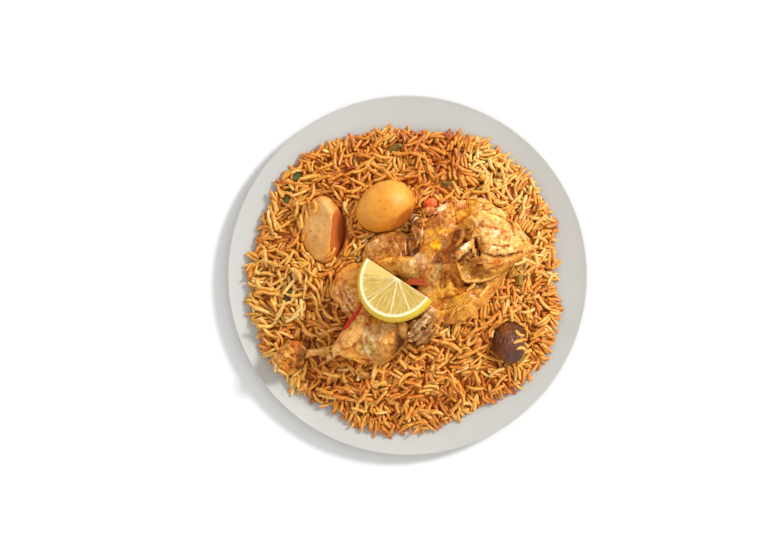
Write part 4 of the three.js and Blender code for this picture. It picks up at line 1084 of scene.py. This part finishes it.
# Each point's share of the way from the slice's middle to its rind, its angle, how much it is on the rind's
# outside, how pale it is, and whether it is in the palest segment
def markSlice(piece):
    points = readVertices(piece, "co")
    back = np.array(lemonPlace().inverted())
    local = (points @ back[:3, :3].T + back[:3, 3]) / mm
    normals = readVertices(piece, "normal") @ back[:3, :3].T
    flat = np.hypot(local[:, 0], local[:, 1] / lemon["stretch"])
    ragged = raggedAt(points, 420, 0.6, 1100)
    share = flat / lemon["radius"] + 0.014 * ragged
    angle = np.arctan2(local[:, 1] / lemon["stretch"], local[:, 0]) % (2 * math.pi)
    outward = (normals[:, 0] * local[:, 0] + normals[:, 1] * local[:, 1]) / np.maximum(flat, 1e-3)
    side = smoothStep((outward - 0.35) * 3) * (share > 0.8)
    walls = [np.abs(angle - math.radians(a)) * flat / thick for a, thick in lemon["membranes"]]
    nearest = np.min(walls, axis=0)
    membrane = smoothStep(1.3 - (nearest + 0.25 * ragged) / 0.4) * np.clip(0.85 + 0.9 * ragged, 0.3, 1)
    core = smoothStep(1.4 - flat / 3.2)
    cut = smoothStep(1.5 - np.abs(local[:, 1]) / 0.5) * 0.5
    pale = np.maximum(np.maximum(membrane, core), cut)
    flesh = smoothStep((lemon["pithInside"] - share) * 26)
    lift = (flesh * (0.35 - 0.75 * pale)) * np.clip(normals[:, 2], 0, 1)
    movePoints(piece, points + readVertices(piece, "normal") * (-lift * 0.5 * mm)[:, None])
    first = smoothStep((math.radians(lemon["firstSegment"]) - angle) * 12)
    writeValues(piece.data, {"share": share, "angle": angle, "side": side, "pale": pale, "first": first})


# Fresh lemon: juicy flesh that glows, dry white pith, and a waxy yellow rind with oil pits
citrusFinish = {"Roughness": 0.3, "IOR": 1.4, "Coat Weight": 0.25, "Coat Roughness": 0.15}
citrusFinish |= {"Subsurface Weight": 0.2, "Subsurface Radius": (1.0, 0.8, 0.3), "Subsurface Scale": 0.004}
citrus, citrusShader, citrusPlace = newMaterial("FreshLemon", citrusFinish)
citrusShare, citrusAngle, citrusSide, citrusPale, citrusFirst = (
    addNode(citrus, "Attribute", {"attribute_name": name}).outputs["Fac"]
    for name in ("share", "angle", "side", "pale", "first")
)
# Juice sacs, drawn out from the middle
citrusRays = addNode(citrus, "CombineXYZ", {"X": citrusAngle, "Y": citrusShare})
citrusStretch = addNode(citrus, "Mapping", {"Scale": (11, 2.6, 1), "Vector": citrusRays})
citrusVesicles = addNode(
    citrus, "TexNoise", {"Scale": 1.6, "Detail": 4, "Roughness": 0.6, "Vector": citrusStretch}
)
citrusSacs = addNode(citrus, "TexVoronoi", {"Scale": 1.5, "Vector": citrusStretch})
citrusJuice = addNode(citrus, "Math", {"operation": "MULTIPLY_ADD", 1: 0.3, 0: citrusSacs, 2: citrusVesicles})
citrusStops = [(0.4, "#B89234"), (0.64, "#CAA850"), (0.92, "#E2C87C")]
citrusTone = addNode(citrus, "ValToRGB", {"stops": citrusStops, "Fac": citrusJuice})
citrusFirstPart = addNode(citrus, "Math", {"operation": "MULTIPLY", 1: 0.7, 0: citrusFirst})
citrusPith, citrusEdge = (
    addNode(citrus, "MapRange", {"From Min": border - before, "From Max": border + after, "Value": citrusShare})
    for border, before, after in ((lemon["pithInside"], 0.02, 0.02), (lemon["pithOutside"], 0.03, 0.025))
)
# From the flesh outwards: the palest segment, membranes, pith, the rind's edge and the rind
for part, colour in (
    (citrusFirstPart, "#ECCC76"),
    (citrusPale, "#F3E6B2"),
    (citrusPith, "#F3E6C2"),
    (citrusEdge, "#EBD45C"),
    (citrusSide, "#DDBA28"),
):
    citrusTone = addNode(citrus, "Mix", {"data_type": "RGBA", 0: part, 6: citrusTone, 7: linearColour(colour)})
citrusPits = addNode(citrus, "TexVoronoi", {"Scale": 700, "Vector": citrusPlace})  # oil pits 1.4 mm apart
citrusPitHeight = addNode(citrus, "Math", {"operation": "MULTIPLY", 0: citrusPits, 1: citrusSide})
citrusHeight = addNode(citrus, "Math", {"operation": "ADD", 0: citrusPitHeight, 1: citrusJuice})
citrusBump = addNode(citrus, "Bump", {"Strength": 0.6, "Distance": 0.0006, "Height": citrusHeight})
setNode(citrus, citrusShader, {"Base Color": citrusTone, "Normal": citrusBump})

lemonSlice = softCopy("lemon_half_slice", "lemonSlice", 0.5, 4)
markSlice(lemonSlice)
finishPiece(lemonSlice, citrus, "lemon", "lemon_half_slice")
print("lemon is sliced:", len(lemonSlice.data.polygons), "faces")

# ---- small pieces of vegetable ----
morsels = {
    "red_pepper_strip_left": ("pepperStripLeft", "red_pepper", "#A81A08", "#CC3418", -0.35),
    "red_pepper_strip_centre": ("pepperStripCentre", "red_pepper", "#8A300A", "#B4541E", -0.25),
    "tomato_piece": ("tomatoPiece", "red_pepper", "#D04614", "#EA8040", 0),
    "tomato_skin": ("tomatoSkin", "red_pepper", "#B23A18", "#D0602C", 0),
    "orange_pepper_shard": ("pepperShard", "red_pepper", "#B8481C", "#D87A34", 0),
    "tomato_left": ("tomatoLeft", "red_pepper", "#8A3A18", "#A4602C", 0),
    "green_pepper_top": ("greenPepperTop", "green_pepper", "#5E4A1C", "#8A7230", -0.3),
    "green_pepper_middle": ("greenPepperMiddle", "green_pepper", "#5A4A1E", "#8E7632", 0),
    "green_pepper_right": ("greenPepperRight", "green_pepper", "#8A6A24", "#B59038", 0),
    "onion_left": ("onionLeft", "onion", "#C98A3C", "#DDB070", -0.4),
    "onion_front": ("onionFront", "onion", "#D09C58", "#E2BC7C", -0.35),
    "herb_left": ("herbLeft", "herb", "#3E3418", "#5C4E22", 0),
    "parsley_back": ("parsleyBack", "herb", "#34461A", "#566A2C", 0),
    "parsley_left": ("parsleyLeft", "herb", "#304A1C", "#567034", 0),
}
tomatoCuts = [(427, 206, 205, 50, 1), (432, 206, 10, 34, 1)]
evenOnes = ("red_pepper_strip_left", "red_pepper_strip_centre", "tomato_piece")
for node, (name, slot, dark, pale, swell) in morsels.items():
    # Cooked vegetable skin: soft, wet and a little translucent, blotched as it cooks unevenly
    wetFinish = {"Roughness": 0.42, "Specular IOR Level": 0.16, "Coat Weight": 0.07, "Coat Roughness": 0.15}
    wet, wetShader, wetPlace = newMaterial(name + "Wet", wetFinish)
    wetBlotch = addNode(wet, "TexNoise", {"Scale": 500, "Detail": 4, "Vector": wetPlace})
    wetTone = addNode(wet, "ValToRGB", {"stops": [(0.35, dark), (0.65, pale)], "Fac": wetBlotch})
    wetBump = addNode(wet, "Bump", {"Strength": 0.4, "Distance": 0.0004, "Height": wetBlotch})
    setNode(wet, wetShader, {"Base Color": wetTone, "Normal": wetBump})
    piece = softCopy(node, name, 0.35, 3)
    if swell:
        useModifier(piece, "DISPLACE", {"strength": swell * mm, "mid_level": 0})
    if node == "tomato_piece":
        for cut in tomatoCuts:
            trim(piece, *cut)
    if slot != "herb":  # leaves are thin and stay as they are
        unevenBy(piece, 3.5, 0.7 if node in evenOnes else 2.2)
        unevenBy(piece, 1.5, 0.4)
    finishPiece(piece, wet, slot, node)
print("vegetables are cut")

# ---- rice ----
rice = {
    "seed": 20417,
    # the heap's radius, every 20 degrees
    "outline": [112, 118, 118, 116, 111, 112, 115, 121, 117, 120, 122, 121, 117, 119, 115, 114, 119, 120],
    "edge": 9,
    "dome": 27,
    "swell": 1.8,
    "ripple": 1.5,
    "sunk": 5.6,  # how far the core lies under the heap's face
    "pulledIn": 5,
    "skirt": 7,  # the heap's slope outside its edge
    "ragged": 4,
    "cell": 0.5,
    "halfWidth": 1.3,
    "length": 11.9,
    "lengths": (4, 16.5),  # the shortest and the longest
    "tries": 42000,
    "looks": 7,  # places looked at for each grain, of which the emptiest is taken
    "headings": 3,
    "loose": 620,
    "clumps": 560,  # knots of grains that cling together, side by side
    "clumpTurn": 0.85,
    "clumpLift": 1.5,
    "clumpTint": 0.11,
    "tint": (0.53, 0.12),  # middle and spread of the grains' tones
    "lengthSpread": 1.8,
    "rim": (0.87, 0.6),  # past this share of the radius, this share of the grains points outwards
    "thinnest": 2.4,  # the layer over the plate
    "clearance": 0.4,  # room that a grain needs under the food
    "fieldReach": 125,
    "proud": 0.4,  # how far a grain may stand above the heap's face
    "squash": 0.62,  # soft grains lie closer than hard ones
    "steepest": 0.6,
    "diving": 0.4,  # share of grains with one end pushed into the heap
    "sags": [-0.11, -0.055, 0.0, 0.06],  # how far a grain's ends may hang below its middle, in lengths
    # which way the grains lie: place and radius in the picture, heading in degrees, and how strongly
    "drifts": [
        (485, 150, 18, 62, 1.2), (490, 205, 26, -8, 1.4), (520, 190, 24, -35, 1.2), (545, 235, 26, -52, 1.4),
        (545, 300, 26, 85, 1.0), (515, 285, 18, 70, 0.9), (545, 355, 20, 18, 1.3), (490, 345, 26, -35, 0.8),
        (465, 385, 30, 75, 1.2), (430, 400, 26, 85, 1.0), (420, 365, 22, -30, 0.7), (370, 380, 26, -25, 0.9),
        (335, 395, 22, 55, 0.9), (318, 315, 22, -62, 1.6), (300, 270, 18, -20, 0.9), (268, 265, 24, 12, 0.9),
        (270, 330, 24, -35, 1.0), (270, 300, 20, -45, 0.8), (295, 160, 20, 80, 1.0), (330, 180, 22, -15, 0.9),
        (350, 150, 26, 35, 0.8), (352, 230, 16, 70, 1.2), (345, 255, 16, 35, 1.0),
    ],
    # where the grains are paler or darker: place and radius in the picture, and by how much
    "tones": [
        (505, 180, 45, 0.24), (535, 250, 34, 0.14), (545, 310, 24, 0.05), (285, 300, 40, 0.15), (300, 316, 16, 0.08),
        (430, 150, 42, -0.2), (350, 150, 34, -0.17), (485, 372, 26, -0.12), (545, 300, 20, -0.06),
        # (345, 235) darkens the grains beside the potatoes as painted shadow
        (345, 235, 16, -0.2), (400, 400, 60, -0.03), (330, 395, 34, -0.1), (480, 320, 24, -0.12),
    ],
    # hollows in the heap: place and radius in the picture, and depth in millimetres
    "hollows": [
        (312, 344, 9, 6), (321, 362, 8, 2.5), (351, 233, 9, 3), (300, 338, 5, 3), (412, 352, 8, 2),
        (458, 330, 12, 2.5), (415, 372, 10, 2), (300, 215, 8, 2),
    ],
    # where grains are broken short: place and radius in the picture, and what is left of their length
    "broken": [
        (440, 150, 44, 0.62), (350, 375, 24, 0.7), (375, 385, 20, 0.65), (370, 150, 26, 0.8), (300, 180, 20, 0.85),
    ],
}


def unevenness(x, y, z, pitch):
    k = 2 * math.pi / pitch
    a = np.sin(k * x + 1.7 * np.sin(0.61 * k * y + 0.4))
    b = np.sin(0.93 * k * y + 1.4 * np.sin(0.57 * k * z + 2.1))
    c = np.sin(1.07 * k * z + 1.6 * np.sin(0.53 * k * x + 1.2))
    return (a + b + c) / 3


def heapRadius(angle):
    values = np.array(rice["outline"], dtype=float)
    place = (np.asarray(angle) / (2 * math.pi) % 1) * len(values)
    i = np.floor(place).astype(int)
    t = place - i
    before, here, there, after = (values[(i + k) % len(values)] for k in (-1, 0, 1, 2))
    bend = (2 * before - 5 * here + 4 * there - after) * t**2 + (3 * here - before - 3 * there + after) * t**3
    return 0.5 * (2 * here + (there - before) * t + bend)


def nearness(x, y, px, py, radius):
    cx, cy = (value / mm for value in onPlate(px, py))
    return smoothStep(1.4 - np.hypot(x - cx, y - cy) / (radius * picture["mmPerPixel"]))


def heapTop(x, y):
    radius = np.hypot(x, y)
    share = np.minimum(1, radius / heapRadius(np.arctan2(y, x)))
    edge = rice["edge"] * np.sqrt(np.maximum(0, 1 - share**8))
    dome = rice["dome"] * (1 - share * share) ** 1.2
    hollow = sum(depth * nearness(x, y, px, py, wide) for px, py, wide, depth in rice["hollows"])
    return plateTop(radius) + edge + dome + rice["swell"] * unevenness(x, y, 7, 46) * (1 - share**6) - hollow


# The heap under the loose grains: spiced rice pressed together, coloured darker than the grains as painted shade in
# the gaps
riceCore = softCopy("rice_bed", "riceCore", 1.3, 3)
corePoints = readVertices(riceCore, "co") / mm
coreAngle = np.arctan2(corePoints[:, 1], corePoints[:, 0])
coreReach = np.maximum(np.hypot(corePoints[:, 0], corePoints[:, 1]), 1e-6)
coreShare = np.minimum(1, (heapRadius(coreAngle) - rice["pulledIn"]) / coreReach)
corePoints[:, 0] *= coreShare
corePoints[:, 1] *= coreShare
coreLid = heapTop(corePoints[:, 0], corePoints[:, 1]) - rice["sunk"]
coreFloor = plateTop(np.hypot(corePoints[:, 0], corePoints[:, 1])) + 1
corePoints[:, 2] = np.minimum(corePoints[:, 2], np.maximum(coreLid, coreFloor))
movePoints(riceCore, corePoints * mm)
unevenBy(riceCore, 3, 0.8)
pressed, pressedShader, pressedPlace = newMaterial("PressedRice", {"Roughness": 0.5, "Specular IOR Level": 0.3})
pressedNoise = addNode(pressed, "TexNoise", {"Scale": 600, "Detail": 4, "Vector": pressedPlace})
# darker than the loose grains: painted shade where the core shows between them
pressedStops = [(0.3, "#B85A1C"), (0.6, "#D8822E"), (0.8, "#E8A24C")]
pressedTone = addNode(pressed, "ValToRGB", {"stops": pressedStops, "Fac": pressedNoise})
pressedBump = addNode(pressed, "Bump", {"Strength": 0.8, "Distance": 0.0012, "Height": pressedNoise})
setNode(pressed, pressedShader, {"Base Color": pressedTone, "Normal": pressedBump})
finishPiece(riceCore, pressed, "rice", "rice_bed")

toppings = [chickenHalf, chickenShreds, potatoWhole, potatoCut, driedLime, lemonSlice]
toppings.append(bpy.data.objects["tomatoPiece"])
smallPieces = [bpy.data.objects[name] for name, *_ in morsels.values()]
span = plate["radius"]
cells = int(2 * span / rice["cell"])
blocked = np.zeros((cells, cells), dtype=bool)
toppingTop = np.zeros((cells, cells))
groundTree = treeOf([riceCore] + smallPieces)
toppingTree = treeOf(toppings)
axis = (np.arange(cells) + 0.5) * rice["cell"] - span
gridX, gridY = np.meshgrid(axis, axis, indexing="ij")
gridRadius = np.hypot(gridX, gridY)
surface = plateTop(gridRadius)
allowed = heapTop(gridX, gridY) + rice["ripple"] * unevenness(gridX, gridY, 3, 17)
gridOut = gridRadius - heapRadius(np.arctan2(gridY, gridX))
skirt = 0.6 * rice["edge"] * np.clip(1 - (gridOut + 1) / rice["skirt"], 0, 1)
allowed = np.maximum(allowed, plateTop(gridRadius) + rice["thinnest"] + skirt)
for i, j in zip(*np.nonzero(gridRadius < span - 7)):
    x, y = axis[i] * mm, axis[j] * mm
    hit = groundTree.ray_cast(Vector((x, y, above)), down)[0]
    if hit:
        surface[i, j] = max(surface[i, j], hit.z / mm)
    top = toppingTree.ray_cast(Vector((x, y, above)), down)[0]
    if top:
        toppingTop[i, j] = top.z / mm
        low = toppingTree.ray_cast(Vector((x, y, -0.01)), up)[0]
        blocked[i, j] = low.z / mm < allowed[i, j] + rice["clearance"]
print("heap is measured")


def cellOf(x, y):
    i = np.clip(((x + span) / rice["cell"]).astype(int), 0, cells - 1)
    j = np.clip(((y + span) / rice["cell"]).astype(int), 0, cells - 1)
    return i, j


# Which way grains lie everywhere: slow swirls, and the drifts seen in the picture
swirl = 1.3 * unevenness(gridX, gridY, 5, 90) + 0.6 * unevenness(gridX, gridY, 23, 31)
lieCos, lieSin = 0.7 * np.cos(2 * math.pi * swirl), 0.7 * np.sin(2 * math.pi * swirl)
for px, py, radius, heading, strength in rice["drifts"]:
    near = nearness(gridX, gridY, px, py, radius) * strength
    lieCos += near * math.cos(math.radians(2 * heading))
    lieSin += near * math.sin(math.radians(2 * heading))
random = np.random.default_rng(rice["seed"])
clumpX, clumpY = random.uniform(-rice["fieldReach"], rice["fieldReach"], (2, rice["clumps"]))
clumpTurn, clumpLift, clumpTint = (
    random.normal(0, rice[spread], rice["clumps"]) for spread in ("clumpTurn", "clumpLift", "clumpTint")
)
nearest = np.full((cells, cells), 1e9)
clumpOf = np.zeros((cells, cells), dtype=int)
for k in range(rice["clumps"]):
    away = (gridX - clumpX[k] + 2 * np.sin(gridY / 3)) ** 2 + (gridY - clumpY[k] + 2 * np.sin(gridX / 3.4)) ** 2
    clumpOf[away < nearest] = k
    nearest = np.minimum(nearest, away)
allowed += np.where(gridOut < -6, clumpLift[clumpOf], 0)
lost = np.zeros((cells, cells))
for px, py, radius, left in rice["broken"]:
    lost = np.maximum(lost, (1 - left) * nearness(gridX, gridY, px, py, radius))

shares = np.linspace(-0.5, 0.5, 9)
leftEnd, rightEnd = (ends.ravel() for ends in np.meshgrid(np.arange(0, 5), np.arange(4, 9), indexing="ij"))
reach = np.maximum(shares[rightEnd] - shares[leftEnd], 1e-6)
leftPart = np.where(reach > 1e-5, shares[rightEnd] / reach, 1)
rightPart = np.where(reach > 1e-5, -shares[leftEnd] / reach, 0)
sags = np.array(rice["sags"])


# Where points along and across a grain lie on the plate, for one or more headings
def grainPlan(grain, heading, along, across):
    sideways = across + grain["bend"] * ((2 * along / grain["length"]) ** 2 - 0.33)
    cos, sin = np.cos(heading), np.sin(heading)
    return grain["x"] + along * cos - sideways * sin, grain["y"] + along * sin + sideways * cos


# How a soft grain comes to rest: of a few headings and ways to sag, the one that lies closest to what is under it
def restOn(ground, grain, headings, stop=None):
    along = shares * grain["length"]
    across = np.array([-0.7, 0, 0.7])[:, None] * grain["halfWidth"]
    headings = np.asarray(headings, dtype=float)
    i, j = cellOf(*grainPlan(grain, headings[:, None, None], along, across))
    heights = ground[i, j]
    heights = 0.5 * (heights.max(axis=1) + heights.mean(axis=1))
    bent = heights[:, None, :] - sags[:, None] * grain["length"] * (2 * shares) ** 2
    middles = bent[..., leftEnd] * leftPart + bent[..., rightEnd] * rightPart
    best = middles.argmax(axis=2)
    low = middles.max(axis=2)
    right = np.take_along_axis(bent, rightEnd[best][..., None], axis=2)[..., 0]
    left = np.take_along_axis(bent, leftEnd[best][..., None], axis=2)[..., 0]
    slope = (right - left) / (reach[best] * grain["length"])
    slope[reach[best] < 1e-5] = 0
    gap = low - bent.mean(axis=2) + 2.0 * np.abs(sags) + 2.0 * np.maximum(0, np.abs(slope) - 0.35)
    if stop is not None:
        gap[stop[i, j].any(axis=(1, 2))] = np.inf
    h, k = np.unravel_index(np.argmin(gap), gap.shape)
    if not np.isfinite(gap[h, k]):
        return None
    grain.update(heading=headings[h], low=low[h, k], slope=slope[h, k], sag=sags[k])
    return i[h, 1], j[h, 1]


def centreHeight(grain, along):
    return grain["low"] + grain["slope"] * along + grain["sag"] * grain["length"] * (2 * along / grain["length"]) ** 2


def lay(ground, grain):
    along = np.linspace(-0.48, 0.48, int(grain["length"] / rice["cell"] * 1.5)) * grain["length"]
    across = np.array([-0.9, -0.5, 0, 0.5, 0.9])[:, None] * grain["halfWidth"]
    i, j = cellOf(*grainPlan(grain, grain["heading"], along, across))
    thick = grain["halfWidth"] * rice["squash"] * (1 + np.sqrt(1 - (across / grain["halfWidth"]) ** 2))
    np.maximum.at(ground, (i, j), centreHeight(grain, along) + thick)


def newGrain(x, y, length):
    length = float(np.clip(length, *rice["lengths"]))
    return {
        "x": x,
        "y": y,
        "length": length,
        "halfWidth": rice["halfWidth"] * random.uniform(0.86, 1.14),
        "bend": random.normal(0, 0.085) * length,
        "depth": 0.0,
        "tint": 0.06,
    }


laid = []
for attempt in range(rice["tries"]):
    angles = random.uniform(0, 2 * math.pi, rice["looks"])
    ragged = unevenness(120 * np.cos(angles), 120 * np.sin(angles), 9, 30)
    spread = heapRadius(angles) + 1.5 + rice["ragged"] * ragged
    distances = np.sqrt(random.uniform(0, 1, rice["looks"])) * spread
    i, j = cellOf(distances * np.cos(angles), distances * np.sin(angles))
    room = np.where(blocked[i, j], -9, allowed[i, j] - surface[i, j])
    pick = int(np.argmax(room))
    angle, distance = angles[pick], distances[pick]
    x, y = distance * math.cos(angle), distance * math.sin(angle)
    cell = cellOf(np.array(x), np.array(y))
    clump = clumpOf[cell]
    lie = 0.5 * math.atan2(lieSin[cell], lieCos[cell])
    headings = lie + clumpTurn[clump] + random.normal(0, 0.3, rice["headings"])
    if distance > rice["rim"][0] * heapRadius(angle) and random.uniform() < rice["rim"][1]:
        headings = angle + random.normal(0, 0.5, rice["headings"])
    length = random.normal(rice["length"], rice["lengthSpread"]) * (1 - lost[cell] * random.uniform(0.3, 1.3))
    grain = newGrain(x, y, length)
    place = restOn(surface, grain, headings, blocked)
    if place is None:
        grain["length"] *= 0.6
        place = restOn(surface, grain, random.uniform(0, math.pi, 8), blocked)
    if place is None or abs(grain["slope"]) > rice["steepest"]:
        continue
    tops = centreHeight(grain, shares * grain["length"]) + 2 * grain["halfWidth"] * rice["squash"]
    over = tops - allowed[place]
    if over.mean() > random.normal(rice["proud"], 0.5) or over.max() > rice["proud"] + 1.8:
        continue
    grain["depth"] = float(np.clip(-over.mean(), 0, 6))
    grain["tint"] = clumpTint[clump]
    if random.uniform() < rice["diving"] and not toppingTop[place].any():
        grain["slope"] = float(np.clip(grain["slope"] + random.normal(0, 0.4), -0.85, 0.85))
        grain["low"] -= 0.7
    lay(surface, grain)
    laid.append(grain)
print("grains laid:", len(laid))

# Loose grains that lie across the others
for attempt in range(rice["loose"]):
    angle = random.uniform(0, 2 * math.pi)
    distance = math.sqrt(random.uniform(0, 1)) * (heapRadius(angle) - 4)
    grain = newGrain(distance * math.cos(angle), distance * math.sin(angle), random.normal(rice["length"] + 0.8, 1.6))
    if restOn(surface, grain, random.uniform(0, math.pi, 2), blocked) and abs(grain["slope"]) < 0.4:
        lay(surface, grain)
        laid.append(grain)

# A few grains that fell on the food: place in the picture, heading in degrees, length in millimetres
strays = [
    (306.5, 211, 97, 14), (315.5, 208, 84, 11.5), (304, 203, 20, 8), (333, 252, 60, 8), (330, 255, 35, 9),
    (519, 334, 150, 9), (523, 339, 165, 9), (517, 341, 15, 8), (526, 345, 140, 8), (521, 348, 170, 9),
     (528, 351, 20, 9),
    (303, 213, 80, 12), (301.5, 222, 95, 11), (309, 203, 110, 10), (304, 236, 70, 10), (303, 248, 110, 9),
    (305, 366, 70, 9), (443, 331, 30, 9), (437, 326, 140, 8),
    (470, 287, 40, 9), (350, 262, 20, 8), (530, 262, 160, 10),
    (283, 372, 150, 10), (276, 368, 80, 9), (297, 373, 40, 9), (277, 347, 120, 9),
    (527, 245, 150, 11), (532, 250, 120, 12), (529, 256, 30, 11), (523, 259, 160, 10), (518, 263, 20, 11),
     (520, 236, 130, 11), (514, 229, 110, 12),
    (333, 262, 60, 9), (331, 277, 100, 10), (334, 291, 75, 9), (340, 300, 130, 8), (352, 243, 50, 9),
     (363, 236, 15, 10), (346, 251, 70, 9),
    (398, 360, 50, 10), (471, 301, 40, 11), (461, 307, 25, 10), (451, 314, 60, 10), (483, 291, 50, 12),
    (411, 347, 140, 9), (425, 348, 20, 10), (499, 215, 160, 9), (488, 208, 20, 10), (470, 199, 5, 11),
     (482, 202, 170, 12),
]
everything = np.maximum(surface, toppingTop)
for px, py, heading, length in strays:
    x, y = (v / mm for v in onPlate(px, py))
    grain = newGrain(x, y, length)
    restOn(everything, grain, [math.radians(heading)])
    grain["slope"] = float(np.clip(grain["slope"], -0.9, 0.9))
    lay(everything, grain)
    laid.append(grain)


# One grain, modelled once: a six-sided rod with blunt ends, along Z, from -1 to 1
def grainModel():
    bpy.ops.mesh.primitive_uv_sphere_add(segments=6, ring_count=8, radius=1)
    model = bpy.context.object
    points = readVertices(model, "co").copy()
    faces = [list(face.vertices) for face in model.data.polygons]
    bpy.data.objects.remove(model)
    full = np.hypot(points[:, 0], points[:, 1])
    points[:, 2] = np.sign(points[:, 2]) * np.abs(points[:, 2]) ** 0.55
    blunt = np.maximum(0, 1 - np.abs(points[:, 2]) ** 9) ** 0.5
    points[:, :2] *= np.where(full > 1e-4, blunt / np.maximum(full, 1e-4), 0)[:, None]
    return points, faces


def makeGrains(name, grains, material):
    model, faces = grainModel()
    count = len(grains)
    keys = ("x", "y", "low", "heading", "slope", "sag", "bend", "length", "halfWidth")
    columns = (np.array([grain[key] for grain in grains])[:, None] for key in keys)
    x, y, low, heading, slope, sag, bend, length, halfWidth = columns
    flat = 1 / np.sqrt(1 + slope**2)
    along = np.stack([np.cos(heading) * flat, np.sin(heading) * flat, slope * flat], axis=-1)
    across = np.stack([-np.sin(heading), np.cos(heading), np.zeros_like(heading)], axis=-1)
    upright = np.cross(along, across)
    roll = random.uniform(0, 2 * math.pi, (count, 1))
    thick = random.uniform(0.84, 1.0, (count, 1))
    t = model[None, :, 2]
    waist = 1 + 0.07 * np.sin(3 * t + roll) - 0.1 * t * np.sin(5 * roll)
    u = (model[None, :, 0] * np.cos(roll) - model[None, :, 1] * np.sin(roll)) * halfWidth * waist
    v = (model[None, :, 0] * np.sin(roll) + model[None, :, 1] * np.cos(roll)) * halfWidth * thick * waist
    u = u + bend * (t**2 - 0.33)
    v = v + sag * length * t**2
    middle = np.stack([x, y, low + halfWidth * rice["squash"]], axis=-1)
    points = middle + along * (t * length / 2)[..., None] + across * u[..., None] + upright * v[..., None]
    size = len(model)
    every = [[k * size + i for i in face] for k in range(count) for face in faces]
    piece = newPiece(name, (points.reshape(-1, 3) * mm).tolist(), every)
    tint = rice["tint"][0] + random.normal(0, rice["tint"][1], count) + 0.12 * unevenness(x[:, 0], y[:, 0], 11, 37)
    # grains that lie deeper are darker, as painted shade under the grains above them
    tint += np.array([grain["tint"] - 0.035 * grain["depth"] for grain in grains])
    for px, py, radius, change in rice["tones"]:
        tint += change * nearness(x[:, 0], y[:, 0], px, py, radius)
    writeValues(piece.data, {"grainTint": np.repeat(np.clip(tint, 0, 1), size)})
    finishPiece(piece, material, "rice")
    print(name, count, "grains")


# Basmati cooked in spiced stock: stained orange, moist, and translucent enough to glow at its edges
basmatiFinish = {"Roughness": 0.38, "IOR": 1.4, "Coat Weight": 0.22, "Coat Roughness": 0.22}
basmatiFinish |= {"Subsurface Weight": 0.6, "Subsurface Radius": (1.0, 0.45, 0.12), "Subsurface Scale": 0.0026}
basmati, basmatiShader, basmatiPlace = newMaterial("StockCookedBasmati", basmatiFinish)
basmatiTint = addNode(basmati, "Attribute", {"attribute_name": "grainTint"}).outputs["Fac"]
basmatiStain = addNode(basmati, "TexNoise", {"Scale": 260, "Detail": 3, "Vector": basmatiPlace})
basmatiShift = addNode(
    basmati, "MapRange", {"From Min": 0.3, "From Max": 0.7, "To Min": -0.2, "To Max": 0.2, "Value": basmatiStain}
)
basmatiSum = addNode(basmati, "Math", {"operation": "ADD", 0: basmatiTint, 1: basmatiShift})
basmatiStops = [(0.0, "#A84E12"), (0.3, "#CC7820"), (0.5, "#DE9434"), (0.75, "#EBB050"), (1.0, "#F2CA7E")]
basmatiTone = addNode(basmati, "ValToRGB", {"stops": basmatiStops, "Fac": basmatiSum})
setNode(basmati, basmatiShader, {"Base Color": basmatiTone})

# Shortest first, so that each piece has grains of one kind and stays small enough
byLength = sorted(laid, key=lambda grain: grain["length"])
kinds = ("riceBroken", "riceShort", "riceMiddling", "riceLong")
share = -(-len(byLength) // len(kinds))
for k, name in enumerate(kinds):
    makeGrains(name, byLength[k * share : (k + 1) * share], basmati)
print("rice is served")
